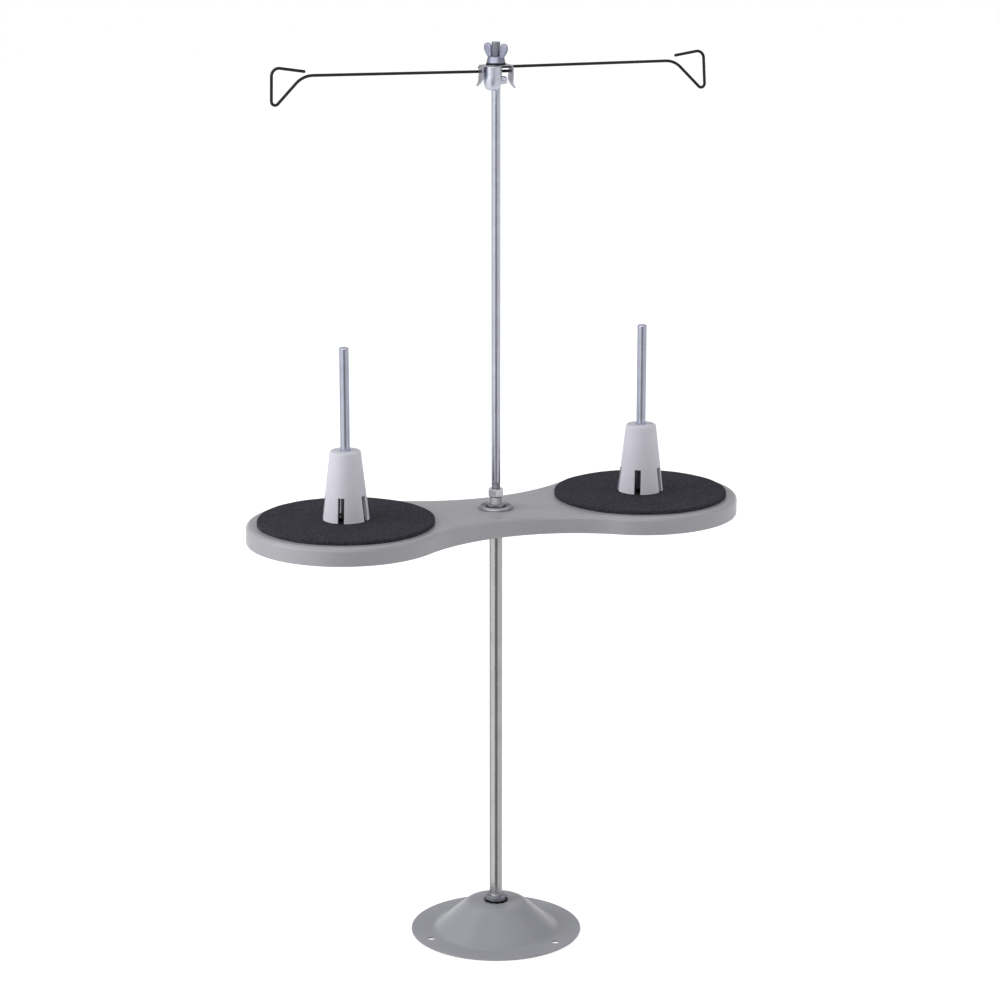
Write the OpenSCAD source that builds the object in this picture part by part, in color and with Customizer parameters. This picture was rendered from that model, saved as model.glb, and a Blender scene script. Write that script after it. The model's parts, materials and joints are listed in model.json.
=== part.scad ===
// Two-spool thread stand: pressed base, tube and rod, dog-bone tray, cone holders and wing-nut clamp
// The origin is the centre of the base on the table, X runs along the tray and Z points up.

/* [Base] */
// Diameter of the base dish
base_d = 120; // [112:1:160]
// Thickness of the base sheet
base_sheet = 1.2; // [0.8:0.1:2]
// Diameter at which the dome leaves the flange
dome_foot_d = 86; // [76:1:88]
// Diameter at which the dome meets its flat top
dome_top_d = 40; // [36:1:46]
// Height of the dome's flat top above the table
dome_h = 21.5; // [18:0.5:26]
// Bend radius of the sheet at the dome's foot and shoulder
dome_bend = 8; // [4:0.5:10]
// Diameter of the circle of screw holes
base_hole_circle = 101; // [96:1:106]
// Diameter of a screw hole
base_hole_d = 5.5; // [4:0.1:7]
// Number of screw holes
base_hole_count = 3; // [3:1:6]
// Angle of the first screw hole
base_hole_turn = 64; // [0:1:119]

/* [Post] */
// Overall height of the stand, to the end of the upper rod
stand_h = 626; // [560:1:700]
// Outside diameter of the lower tube
tube_d = 9; // [8:0.1:10]
// Length of tube standing above the tray
tube_rise = 8.7; // [7:0.1:14]
// Length of tube standing below its bottom nut
tube_tail = 2; // [0.5:0.1:6]
// Diameter of the upper rod
rod_d = 6; // [5:0.1:6.4]
// Length of rod held inside the tube
rod_depth = 30; // [15:1:60]
// Chamfer on the ends of the rod, the tube and the pins
end_chamfer = 0.6; // [0.2:0.1:1]

/* [Tray] */
// Height of the tray's top face above the table
tray_z = 308.5; // [260:0.5:340]
// Distance between the two spool pins
spool_spacing = 217; // [200:1:240]
// Diameter of the tray's round ends
tray_end_d = 135; // [126:1:140]
// Width of the tray at its neck
tray_neck_w = 64; // [44:1:80]
// Height of the tray with its skirt
tray_depth = 12.5; // [11.5:0.5:20]
// Thickness of the tray sheet
tray_sheet = 1.2; // [0.8:0.1:1.5]
// Rounding of the tray's top edge
tray_edge = 3; // [2:0.1:5]

/* [Pads] */
// Diameter of a foam pad
pad_d = 120; // [100:1:124]
// Thickness of a foam pad
pad_t = 3; // [2:0.1:5]
// Diameter of the hole in a pad
pad_hole_d = 15; // [13:0.1:18]
// Rounding of a pad's top edge
pad_edge = 0.8; // [0.3:0.1:1.2]

/* [Spool pins] */
// Diameter of a spool pin
pin_d = 6.4; // [6:0.1:7]
// Diameter of the thread at a pin's foot
pin_thread_d = 6; // [5:0.1:6]
// Height of a pin above the tray
pin_h = 120; // [90:1:150]
// Length of pin standing below its bottom nut
pin_tail = 1.2; // [0.5:0.1:2]

/* [Cones] */
// Height of a cone holder
cone_h = 47; // [40:1:60]
// Diameter of a cone holder at its top
cone_top_d = 20.8; // [18:0.1:24]
// Diameter of a cone holder at its bottom
cone_bottom_d = 31.7; // [28:0.1:36]
// Wall of a cone holder
cone_wall = 2; // [1.4:0.1:2.6]
// Thickness of the closed top of a cone holder
cone_cap = 3; // [2:0.1:5]
// Rounding of a cone holder's top edge
cone_edge = 1.5; // [0.5:0.1:2]
// Length of the guide sleeve inside a cone holder, with its cap
cone_sleeve = 24; // [10:1:28]
// Wall of the guide sleeve
sleeve_wall = 1.6; // [1:0.1:2.4]
// Number of slots round the bottom of a cone holder
slot_count = 5; // [3:1:6]
// Angle of the first slot
slot_turn = 94; // [0:1:119]
// Width of a slot
slot_w = 4.4; // [3:0.1:6]
// Height of a slot
slot_h = 17; // [10:1:18]

/* [Nuts and washers] */
// Width over flats of the nuts at the base
base_nut_w = 14; // [13:0.5:17]
// Thickness of the nuts at the base
base_nut_t = 3.5; // [2.5:0.1:5]
// Diameter of the toothed washer on the dome
lock_washer_d = 17; // [16:0.5:20]
// Thickness of the toothed washer
lock_washer_t = 0.8; // [0.5:0.1:1.5]
// Number of teeth on that washer
lock_washer_teeth = 12; // [8:1:16]
// Width of the gap between two teeth
lock_washer_gap = 1; // [0.6:0.1:1.4]
// Diameter of the washer inside the dome
base_washer_d = 20; // [17:0.5:24]
// Thickness of the washer inside the dome
base_washer_t = 1.2; // [0.8:0.1:2]
// Width over flats of the nuts on the tray
tray_nut_w = 13; // [12:0.5:16]
// Thickness of the nuts on the tray
tray_nut_t = 2.2; // [2:0.1:4]
// Diameter of the washer under the tray
tray_washer_d = 23; // [20:0.5:30]
// Thickness of the washer under the tray
tray_washer_t = 1.3; // [0.8:0.1:2]
// Diameter of the cup washer on the tray
cup_d = 24.4; // [22:0.1:28]
// Height of the cup washer's rim
cup_h = 2.2; // [1.6:0.1:3]
// Width of the cup washer's rim
cup_rim_w = 2.7; // [2.5:0.1:4]
// Rounding of the cup washer's outer edge
cup_edge = 1.6; // [0.5:0.1:1.6]
// Thickness of the cup washer's sunk middle
cup_floor = 1; // [0.8:0.1:1.4]
// Width over flats of the small nuts on the rod and the pins
small_nut_w = 10; // [9:0.5:10.5]
// Thickness of the jam nut on the rod
jam_nut_t = 5; // [3:0.1:6]
// Thickness of the nuts on the pins
pin_nut_t = 4; // [3:0.1:4.5]
// Diameter of the washers on the pins
pin_washer_d = 14; // [12:0.5:20]
// Thickness of the washers on the pins
pin_washer_t = 1; // [0.6:0.1:1.5]
// Angle to which the jam nut is turned
jam_nut_turn = 8; // [0:1:59]

/* [Clamp] */
// Height of the clamp body
body_h = 16; // [14:0.5:20]
// Diameter of the clamp body
body_d = 12.4; // [11.6:0.1:14]
// Sideways offset of the clamp body from the rod
body_shift = 2.4; // [1:0.1:2.6]
// Height of the rounded lower end of the clamp body
body_round = 8; // [4:0.5:8]
// Diameter of the clamp body's lower face
body_foot_d = 5; // [3:0.1:7]
// Diameter of the screw boss on the clamp body
boss_d = 5.4; // [4.6:0.1:6.4]
// Distance of the boss's end from the rod's axis
boss_reach = 7.3; // [6.5:0.1:7.8]
// Height of the boss's axis above the clamp body's lower face
boss_z = 6.3; // [5:0.1:7.5]
// Diameter of the set screw
screw_d = 3; // [2:0.1:3.4]
// Depth of the set screw's end below the boss's end
screw_recess = 0.5; // [0.2:0.1:1]
// Width of the set screw's driver slot
screw_slot_w = 0.6; // [0.4:0.1:0.8]
// Depth of the set screw's driver slot
screw_slot_depth = 1; // [0.5:0.1:1.5]
// Thickness of the strap sheet
strap_sheet = 0.8; // [0.6:0.1:1.2]
// Outside length of the strap from ear to ear
strap_l = 22; // [20:0.1:26]
// Width of the strap's ears
strap_w = 8.4; // [8:0.1:11]
// Diameter of the strap's round middle
strap_eye_d = 12; // [11.5:0.1:13]
// Straight height of the left ear, measured from the strap's top face
left_ear_h = 7.4; // [7:0.1:13]
// Straight height of the right ear, measured from the strap's top face
right_ear_h = 9.7; // [7:0.1:13]
// Outer bend radius of the strap
strap_bend = 1.6; // [1.3:0.1:2.5]
// Radius to which an ear's point curls outwards
ear_curl = 7; // [4:0.1:10]
// Angle through which an ear's point curls outwards
ear_curl_angle = 55; // [30:1:70]
// Width of an ear's blunt tip
ear_tip_w = 1; // [0.6:0.1:3]
// Diameter of the washer under the wing nut
wing_washer_d = 13.4; // [12:0.1:16]
// Thickness of the washer under the wing nut
wing_washer_t = 1.1; // [0.6:0.1:1.5]
// Diameter of the wing nut's hub at its foot
hub_d = 13; // [11.5:0.1:14]
// Diameter of the wing nut's hub at its top
hub_top_d = 10.6; // [9.5:0.1:11.5]
// Height of the wing nut's hub
hub_h = 4.6; // [3.5:0.1:6]
// Height of the wing nut over its wings
wing_h = 13; // [11:0.1:16]
// Thickness of a wing
wing_t = 2.2; // [1.6:0.1:3]
// Radius of a wing's rounded tip
wing_tip_r = 3; // [2:0.1:3.5]
// Distance of a wing's outer edge from the rod's axis
wing_reach = 9.8; // [9:0.1:13]
// Angle to which the wing nut is turned
wing_turn = 120; // [0:1:179]
// Length of rod standing above the wing nut
rod_end = 1; // [0.5:0.1:4]

/* [Guide wires] */
// Diameter of the guide wires
wire_d = 2; // [1.6:0.1:2.2]
// Inside bend radius of the guide wires at their first bend
wire_first_bend = 15; // [2:0.5:20]
// Inside bend radius of the guide wires at the eye's low corner
wire_bend = 1.5; // [1.5:0.1:3]
// Inside bend radius of the guide wires at the eye's top corner
wire_top_bend = 4; // [1.5:0.1:6]
// Distance of the guide wires behind the rod's axis
wire_back = 4.4; // [4.3:0.1:5]
// Space between the two wires where they cross, at the rod
wire_space = 0.8; // [0.6:0.1:1.5]
// Length of wire standing past the rod on its far side
wire_tail = 11; // [6:0.5:15]
// Distance of the left wire's first bend from the rod
left_reach = 132.5; // [100:0.1:140]
// Upward slope of the left wire, in degrees
left_slope = 1; // [-1:0.1:1]
// Distance from the left wire's first bend out to the eye's low corner
left_eye_out = 21.8; // [18:0.1:32]
// Distance from the left wire's first bend down to the eye's low corner
left_eye_drop = 22.1; // [14:0.1:26]
// Height of the left eye's outer side
left_eye_h = 28.3; // [20:0.1:32]
// Outward lean of the left eye's outer side
left_eye_lean = -0.6; // [-4:0.1:4]
// Length of the left wire's end, back along the top of the eye
left_eye_end = 22.9; // [16:0.1:25]
// Fall of the left wire's end from the eye's top corner
left_eye_fall = 3.7; // [0:0.1:4]
// Distance of the right wire's first bend from the rod
right_reach = 132; // [100:0.1:140]
// Upward slope of the right wire, in degrees
right_slope = -0.3; // [-1:0.1:1]
// Distance from the right wire's first bend out to the eye's low corner
right_eye_out = 23.4; // [18:0.1:32]
// Distance from the right wire's first bend down to the eye's low corner
right_eye_drop = 22.7; // [14:0.1:26]
// Height of the right eye's outer side
right_eye_h = 29.2; // [22:0.1:32]
// Outward lean of the right eye's outer side
right_eye_lean = -1.7; // [-6:0.1:4]
// Length of the right wire's end, back along the top of the eye
right_eye_end = 21.7; // [14:0.1:23]
// Fall of the right wire's end from the eye's top corner
right_eye_fall = 3.1; // [0:0.1:4]

/* [Fits] */
// Radial gap of a sliding or turning fit
run_gap = 0.08; // [0.05:0.01:0.1]
// Radial gap of a nut or washer on its thread
thread_gap = 0.05; // [0.02:0.01:0.1]
// Gap between a guide wire and the clamp
wire_gap = 0.15; // [0.1:0.01:0.3]
// Radial gap of the strap's hole round the rod
strap_gap = 0.3; // [0.2:0.05:0.5]
// Distance by which the strap lifts when the wing nut is slackened
strap_lift = 1; // [0.5:0.1:1.5]

/* [Hidden] */
$fn = 96;

zinc = [0.74, 0.76, 0.80];
dark_zinc = [0.22, 0.22, 0.24];
grey_paint = [0.50, 0.51, 0.51];
foam = [0.10, 0.10, 0.11];
cone_plastic = [0.80, 0.79, 0.83];
black_wire = [0.04, 0.04, 0.04];

// Heights of the pieces stacked at the foot of the tube
lock_washer_z = dome_h;
base_top_nut_z = lock_washer_z + lock_washer_t;
base_washer_z = dome_h - base_sheet - base_washer_t;
base_bottom_nut_z = base_washer_z - base_nut_t;
tube_z = base_bottom_nut_z - tube_tail;

// Heights of the pieces stacked round the tray
tray_under_z = tray_z - tray_sheet;
tray_washer_under_z = tray_under_z - tray_washer_t;
tray_nut_under_z = tray_washer_under_z - tray_nut_t;
tray_top_nut_z = tray_z + cup_floor;
tube_top_z = tray_z + tube_rise;
pin_washer_z = tray_under_z - pin_washer_t;
pin_bottom_nut_z = pin_washer_z - pin_nut_t;
pin_z = pin_bottom_nut_z - pin_tail;
pin_top_nut_z = tray_z + pin_nut_t;
cone_z = tray_z + pad_t;
left = -1;
right = 1;
spool_x = spool_spacing / 2;

// Heights of the clamp, counted down from the end of the rod
wing_nut_z = stand_h - rod_end - wing_h;
wing_washer_z = wing_nut_z - wing_washer_t;
strap_z = wing_washer_z - strap_sheet;
body_z = strap_z - body_h;
rod_z = tube_top_z - rod_depth;

// The strap rests on the clamp body, over the right wire, and the left wire lies under the right one
wire_r = wire_d / 2;
body_left = body_shift + body_d / 2;
strap_half = strap_l / 2;
right_rise = strap_half * tan(abs(right_slope));
left_rise = strap_half * tan(abs(left_slope));
right_wire_z = strap_z - wire_gap - wire_r - right_rise;
left_wire_z = right_wire_z - wire_d - wire_space;
channel_z = left_wire_z - wire_r - wire_gap - left_rise;
channel_y = wire_back - wire_r - wire_gap;

// Points of an arc from angle a0 to a1 about a centre
function arc(centre, r, a0, a1, steps = 12) =
    [for (i = [0:steps]) let (a = a0 + (a1 - a0) * i / steps) centre + r * [cos(a), sin(a)]];

module ring(outer_d, inner_d, h) {
    difference() {
        cylinder(d = outer_d, h = h);
        translate([0, 0, -1])
            cylinder(d = inner_d, h = h + 2);
    }
}

// Hexagon nut with chamfered corners, drawn from its lower face
module hex_nut(across, h, thread_d) {
    corner_r = across / 2 / cos(30);
    chamfer = corner_r - across / 2;
    difference() {
        intersection() {
            cylinder(r = corner_r, h = h, $fn = 6);
            rotate_extrude()
                polygon([[0, 0], [across / 2, 0], [corner_r, chamfer * tan(30)],
                    [corner_r, h - chamfer * tan(30)], [across / 2, h], [0, h]]);
        }
        translate([0, 0, -1])
            cylinder(d = thread_d + 2 * thread_gap, h = h + 2);
    }
}

// Round bar from z0 to z1 with both ends chamfered
module bar(d, z0, z1) {
    rotate_extrude()
        polygon([[0, z0], [d / 2 - end_chamfer, z0], [d / 2, z0 + end_chamfer],
            [d / 2, z1 - end_chamfer], [d / 2 - end_chamfer, z1], [0, z1]]);
}

// Outer face of the dish from its rim to its centre hole, lifted by the sheet for its upper side
function dish_side(lift) =
    let (slope = atan2(dome_h - base_sheet, (dome_foot_d - dome_top_d) / 2))
    let (set_back = (dome_bend - base_sheet / 2) * tan(slope / 2))
    let (foot_r = dome_bend - lift)
    let (shoulder_r = dome_bend - base_sheet + lift)
    let (foot = [dome_foot_d / 2 + set_back, dome_bend])
    let (shoulder = [dome_top_d / 2 - set_back, dome_h - dome_bend])
    concat([[base_d / 2, lift]],
        arc(foot, foot_r, -90, -90 - slope),
        arc(shoulder, shoulder_r, 90 - slope, 90),
        [[tube_d / 2 + thread_gap, dome_h - base_sheet + lift]]);

module base_dish() {
    upper = dish_side(base_sheet);
    under = dish_side(0);
    color(grey_paint)
        difference() {
            rotate_extrude()
                polygon(concat(upper, [for (i = [len(under) - 1:-1:0]) under[i]]));
            for (i = [0:base_hole_count - 1])
                rotate(base_hole_turn + i * 360 / base_hole_count)
                    translate([base_hole_circle / 2, 0, -1])
                        cylinder(d = base_hole_d, h = base_sheet + 2);
        }
}

module base_lock_washer() {
    color(dark_zinc)
        translate([0, 0, lock_washer_z])
            difference() {
                ring(lock_washer_d, tube_d + 2 * thread_gap, lock_washer_t);
                for (i = [0:lock_washer_teeth - 1])
                    rotate(i * 360 / lock_washer_teeth)
                        translate([base_nut_w / 2, -lock_washer_gap / 2, -1])
                            cube([lock_washer_d, lock_washer_gap, lock_washer_t + 2]);
            }
}

module base_top_nut() {
    color(zinc)
        translate([0, 0, base_top_nut_z])
            hex_nut(base_nut_w, base_nut_t, tube_d);
}

module base_bottom_washer() {
    color(zinc)
        translate([0, 0, base_washer_z])
            ring(base_washer_d, tube_d + 2 * thread_gap, base_washer_t);
}

module base_bottom_nut() {
    color(zinc)
        translate([0, 0, base_bottom_nut_z])
            hex_nut(base_nut_w, base_nut_t, tube_d);
}

module lower_tube() {
    color(zinc)
        difference() {
            bar(tube_d, tube_z, tube_top_z);
            translate([0, 0, tube_z - 1])
                cylinder(d = rod_d + 2 * thread_gap, h = tube_top_z - tube_z + 2);
        }
}

module tray_bottom_nut() {
    color(zinc)
        translate([0, 0, tray_nut_under_z])
            hex_nut(tray_nut_w, tray_nut_t, tube_d);
}

module tray_bottom_washer() {
    color(zinc)
        translate([0, 0, tray_washer_under_z])
            ring(tray_washer_d, tube_d + 2 * thread_gap, tray_washer_t);
}

// Section of a plate's rim: full height inside radius r, with its top edge rounded by radius e
module rim_section(r, h, e) {
    square([r - e, h]);
    square([r, h - e]);
    translate([r - e, h - e])
        intersection() {
            circle(r = e);
            square(e);
        }
}

// Dog-bone block set in by a distance from the tray's outline: two round ends and a neck with hollow sides,
// which stops at the planes through the centres of the ends and of the hollows
module dog_bone(inset, h) {
    end_r = tray_end_d / 2;
    neck = tray_neck_w / 2;
    hollow_r = (pow(spool_x, 2) + pow(neck, 2) - pow(end_r, 2)) / (2 * (end_r - neck));
    hollow_y = neck + hollow_r;
    edge = tray_edge - inset;
    for (side = [left, right])
        translate([side * spool_x, 0, 0])
            rotate_extrude()
                rim_section(end_r - inset, h, edge);
    difference() {
        linear_extrude(height = h)
            polygon([[spool_x, 0], [0, hollow_y], [-spool_x, 0], [0, -hollow_y]]);
        for (side = [left, right])
            translate([0, side * hollow_y, -1])
                rotate_extrude()
                    difference() {
                        square([hollow_r + inset + edge, h + 2]);
                        translate([hollow_r + inset + edge, h + 1 - edge])
                            circle(r = edge);
                        translate([hollow_r + inset, -1])
                            square([2 * edge, h + 2 - edge]);
                    }
    }
}

module spool_tray() {
    color(grey_paint)
        translate([0, 0, tray_z - tray_depth])
            difference() {
                dog_bone(0, tray_depth);
                translate([0, 0, -1])
                    dog_bone(tray_sheet, tray_depth - tray_sheet + 1);
                cylinder(d = tube_d + 2 * run_gap, h = tray_depth + 1);
                for (side = [left, right])
                    translate([side * spool_x, 0, 0])
                        cylinder(d = pin_thread_d + 2 * thread_gap, h = tray_depth + 1);
            }
}

// Pressed cup washer: a rounded rim round a sunk middle for the nut
module tray_top_washer() {
    bore_r = tube_d / 2 + thread_gap;
    rim_r = cup_d / 2;
    recess_r = rim_r - cup_rim_w;
    color(zinc)
        translate([0, 0, tray_z])
            rotate_extrude()
                polygon(concat([[bore_r, 0], [rim_r, 0]],
                    arc([rim_r - cup_edge, cup_h - cup_edge], cup_edge, 0, 90),
                    [[recess_r + 0.4, cup_h], [recess_r, cup_floor], [bore_r, cup_floor]]));
}

module tray_top_nut() {
    color(dark_zinc)
        translate([0, 0, tray_top_nut_z])
            hex_nut(tray_nut_w, tray_nut_t, tube_d);
}

module rod_lock_nut() {
    color(zinc)
        translate([0, 0, tube_top_z])
            rotate(jam_nut_turn)
                hex_nut(small_nut_w, jam_nut_t, rod_d);
}

module upper_rod() {
    color(zinc)
        bar(rod_d, rod_z, stand_h);
}

module spool_pin(side) {
    color(zinc)
        translate([side * spool_x, 0, 0]) {
            bar(pin_d, pin_top_nut_z, tray_z + pin_h);
            bar(pin_thread_d, pin_z, pin_top_nut_z + 2 * end_chamfer);
        }
}

module left_spool_pin() {
    spool_pin(left);
}

module right_spool_pin() {
    spool_pin(right);
}

module pin_top_nuts() {
    color(zinc)
        for (side = [left, right])
            translate([side * spool_x, 0, tray_z])
                hex_nut(small_nut_w, pin_nut_t, pin_thread_d);
}

module pin_washers() {
    color(zinc)
        for (side = [left, right])
            translate([side * spool_x, 0, pin_washer_z])
                ring(pin_washer_d, pin_thread_d + 2 * thread_gap, pin_washer_t);
}

module pin_bottom_nuts() {
    color(zinc)
        for (side = [left, right])
            translate([side * spool_x, 0, pin_bottom_nut_z])
                hex_nut(small_nut_w, pin_nut_t, pin_thread_d);
}

// Soft round pad with a rounded top edge
module pad(side) {
    color(foam)
        translate([side * spool_x, 0, tray_z])
            difference() {
                rotate_extrude()
                    rim_section(pad_d / 2, pad_t, pad_edge);
                translate([0, 0, -1])
                    cylinder(d = pad_hole_d, h = pad_t + 2);
            }
}

module left_pad() {
    pad(left);
}

module right_pad() {
    pad(right);
}

// Hollow slotted cone with a capped top and a guide sleeve that slides on the pin
module cone(side) {
    bottom_r = cone_bottom_d / 2;
    top_r = cone_top_d / 2;
    bore_r = pin_d / 2 + run_gap;
    sleeve_r = bore_r + sleeve_wall;
    cap_z = cone_h - cone_cap;
    sleeve_z = cone_h - cone_sleeve;
    taper = (bottom_r - top_r) / cone_h;
    cap_r = top_r + taper * cone_cap - cone_wall;
    edge = [top_r + taper * cone_edge - cone_edge, cone_h - cone_edge];
    color(cone_plastic)
        translate([side * spool_x, 0, cone_z])
            difference() {
                rotate_extrude()
                    polygon(concat([[bore_r, cone_h], [bore_r, sleeve_z], [sleeve_r, sleeve_z],
                        [sleeve_r, cap_z], [cap_r, cap_z], [bottom_r - cone_wall, 0], [bottom_r, 0]],
                        arc(edge, cone_edge, 0, 90, 6)));
                for (i = [0:slot_count - 1])
                    rotate(slot_turn + i * 360 / slot_count)
                        translate([sleeve_r, -slot_w / 2, -1])
                            cube([bottom_r, slot_w, slot_h + 1]);
            }
}

module left_cone() {
    cone(left);
}

module right_cone() {
    cone(right);
}

// Die-cast barrel with a rounded lower end, a rear channel for the wires and a side boss for its screw
module clamp_body() {
    body_r = body_d / 2;
    foot_r = body_foot_d / 2;
    round_w = body_r - foot_r;
    lower_end = [for (p = arc([0, 0], 1, -90, 0)) [foot_r + round_w * p.x, body_round * (1 + p.y)]];
    color(zinc)
        translate([0, 0, body_z])
            difference() {
                union() {
                    translate([-body_shift, 0, 0])
                        rotate_extrude()
                            polygon(concat([[0, 0]], lower_end, [[body_r, body_h], [0, body_h]]));
                    translate([0, 0, boss_z])
                        rotate([0, 90, 0])
                            cylinder(d = boss_d, h = boss_reach);
                }
                translate([0, 0, -1])
                    cylinder(d = rod_d + 2 * run_gap, h = body_h + 2);
                translate([0, 0, boss_z])
                    rotate([0, 90, 0])
                        cylinder(d = screw_d + 2 * thread_gap, h = boss_reach + 1);
                translate([-body_left - 1, channel_y, channel_z - body_z])
                    cube([body_left + body_d, body_d, body_h]);
            }
}

module clamp_screw() {
    tip = rod_d / 2 + run_gap;
    end = boss_reach - screw_recess;
    color(dark_zinc)
        translate([0, 0, body_z + boss_z])
            difference() {
                rotate([0, 90, 0])
                    translate([0, 0, tip])
                        cylinder(d = screw_d, h = end - tip);
                translate([end - screw_slot_depth, -screw_slot_w / 2, -screw_d])
                    cube([2 * screw_slot_depth, screw_slot_w, 2 * screw_d]);
            }
}

// Side view of half the strap, from the rod's axis along the top and down the curled ear
module strap_side(ear_h) {
    inner_bend = strap_bend - strap_sheet;
    corner = [strap_half - strap_bend, -strap_bend];
    curl = [strap_half + ear_curl, -ear_h];
    polygon(concat([[0, 0]],
        arc(corner, strap_bend, 90, 0, 8),
        arc(curl, ear_curl, 180, 180 + ear_curl_angle, 10),
        arc(curl, ear_curl + strap_sheet, 180 + ear_curl_angle, 180, 10),
        arc(corner, inner_bend, 0, 90, 8),
        [[0, -strap_sheet]]));
}

// Half of the strap on one side of the rod, with its ear cut to a blunt point
module half_strap(side, ear_h) {
    ear_drop = ear_h + (ear_curl + strap_sheet) * sin(ear_curl_angle);
    scale([side, 1, 1])
        intersection() {
            rotate([90, 0, 0])
                linear_extrude(height = strap_w, center = true)
                    strap_side(ear_h);
            rotate([90, 0, 90])
                linear_extrude(height = 4 * strap_l, center = true)
                    polygon([[-strap_w / 2, 1], [strap_w / 2, 1], [strap_w / 2, -ear_h],
                        [ear_tip_w / 2, -ear_drop], [-ear_tip_w / 2, -ear_drop],
                        [-strap_w / 2, -ear_h]]);
        }
}

// Inverted channel of sheet with a round middle on the rod, rear notches for the wires and pointed ears
module clamp_strap() {
    notch_drop = strap_z - channel_z + strap_lift + wire_gap;
    color(zinc)
        translate([0, 0, strap_z + strap_sheet])
            difference() {
                union() {
                    half_strap(left, left_ear_h);
                    half_strap(right, right_ear_h);
                    translate([0, 0, -strap_sheet])
                        cylinder(d = strap_eye_d, h = strap_sheet);
                }
                translate([0, 0, -strap_sheet - 1])
                    cylinder(d = rod_d + 2 * strap_gap, h = strap_sheet + 2);
                translate([-strap_l, channel_y, -strap_sheet - notch_drop])
                    cube([2 * strap_l, strap_w, notch_drop]);
            }
}

module wing_washer() {
    color(dark_zinc)
        translate([0, 0, wing_washer_z])
            ring(wing_washer_d, rod_d + 2 * strap_gap, wing_washer_t);
}

// Upright outline of one wing, from the hub up to its rounded tip
module wing_outline() {
    tip_x = wing_reach - wing_tip_r;
    tip_z = wing_h - wing_tip_r;
    translate([tip_x, tip_z])
        circle(r = wing_tip_r);
    polygon([[0, 0], [hub_top_d / 2, 0], [hub_top_d / 2, hub_h], [wing_reach, tip_z],
        [tip_x - wing_tip_r, tip_z], [rod_d / 2, hub_h]]);
}

module wing_nut() {
    color(zinc)
        translate([0, 0, wing_nut_z])
            rotate(wing_turn)
                difference() {
                    union() {
                        cylinder(d1 = hub_d, d2 = hub_top_d, h = hub_h);
                        for (turn = [0, 180])
                            rotate(turn)
                                rotate([90, 0, 0])
                                    linear_extrude(height = wing_t, center = true)
                                        wing_outline();
                    }
                    translate([0, 0, -1])
                        cylinder(d = rod_d + 2 * run_gap, h = wing_h + 2);
                }
}

function heading(p, q) = atan2(q.y - p.y, q.x - p.x);
function half_circle(a) = a - 360 * floor((a + 180) / 360);
function toward(p, q, length) = p + (q - p) * length / norm(q - p);

// One rounded corner of a wire as a list of [point, heading], turning from the run in to the run out
function wire_corner(before, corner, after, r, steps = 8) =
    let (into = heading(before, corner))
    let (turn = half_circle(heading(corner, after) - into))
    let (way = sign(turn))
    let (start = toward(corner, before, r * tan(abs(turn) / 2)))
    let (centre = start + r * [cos(into + 90 * way), sin(into + 90 * way)])
    [for (i = [0:steps]) let (a = into + turn * i / steps)
        [centre - r * [cos(a + 90 * way), sin(a + 90 * way)], a]];

// Centre line of a wire through corner points, with each corner rounded to its own bend radius
function wire_line(p) =
    let (last = len(p) - 1)
    let (bends = [wire_first_bend, wire_bend, wire_top_bend])
    concat([[p[0], heading(p[0], p[1])]],
        [for (i = [1:last - 1]) each wire_corner(p[i - 1], p[i], p[i + 1], bends[i - 1] + wire_r)],
        [[p[last], heading(p[last - 1], p[last])]]);

// Round wire swept along its centre line, which lies in an upright plane facing Y
module wire_along(p, sides = 16) {
    line = wire_line(p);
    rings = len(line);
    points = [for (s = line, k = [0:sides - 1]) let (a = 360 * k / sides)
        [s[0].x - wire_r * cos(a) * sin(s[1]), wire_r * sin(a), s[0].y + wire_r * cos(a) * cos(s[1])]];
    skin = [for (i = [0:rings - 2], k = [0:sides - 1]) let (n = (k + 1) % sides)
        each [[i * sides + k, i * sides + n, (i + 1) * sides + n],
            [i * sides + k, (i + 1) * sides + n, (i + 1) * sides + k]]];
    near_end = [for (k = [sides - 1:-1:0]) k];
    far_end = [for (k = [0:sides - 1]) (rings - 1) * sides + k];
    polyhedron(points, concat(skin, [near_end], [far_end]));
}

// Corners of a guide wire for the right-hand side: its tail, first bend, eye and end
function guide_points(slope, reach, eye_out, eye_drop, eye_h, eye_lean, eye_end, eye_fall) =
    let (first = [reach, reach * tan(slope)])
    let (low = first + [eye_out, -eye_drop])
    let (top = low + [eye_lean, eye_h])
    [[-wire_tail, -wire_tail * tan(slope)], first, low, top, top + [-eye_end, -eye_fall]];

module left_guide_wire() {
    points = guide_points(left_slope, left_reach, left_eye_out, left_eye_drop,
        left_eye_h, left_eye_lean, left_eye_end, left_eye_fall);
    color(black_wire)
        translate([0, wire_back, left_wire_z])
            wire_along([for (p = points) [-p.x, p.y]]);
}

module right_guide_wire() {
    points = guide_points(right_slope, right_reach, right_eye_out, right_eye_drop,
        right_eye_h, right_eye_lean, right_eye_end, right_eye_fall);
    color(black_wire)
        translate([0, wire_back, right_wire_z])
            wire_along(points);
}

base_dish();
base_lock_washer();
base_top_nut();
base_bottom_washer();
base_bottom_nut();
lower_tube();
tray_bottom_nut();
tray_bottom_washer();
spool_tray();
tray_top_washer();
tray_top_nut();
rod_lock_nut();
upper_rod();
left_spool_pin();
right_spool_pin();
pin_top_nuts();
pin_washers();
pin_bottom_nuts();
left_pad();
right_pad();
left_cone();
right_cone();
clamp_body();
clamp_screw();
clamp_strap();
wing_washer();
wing_nut();
left_guide_wire();
right_guide_wire();
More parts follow.
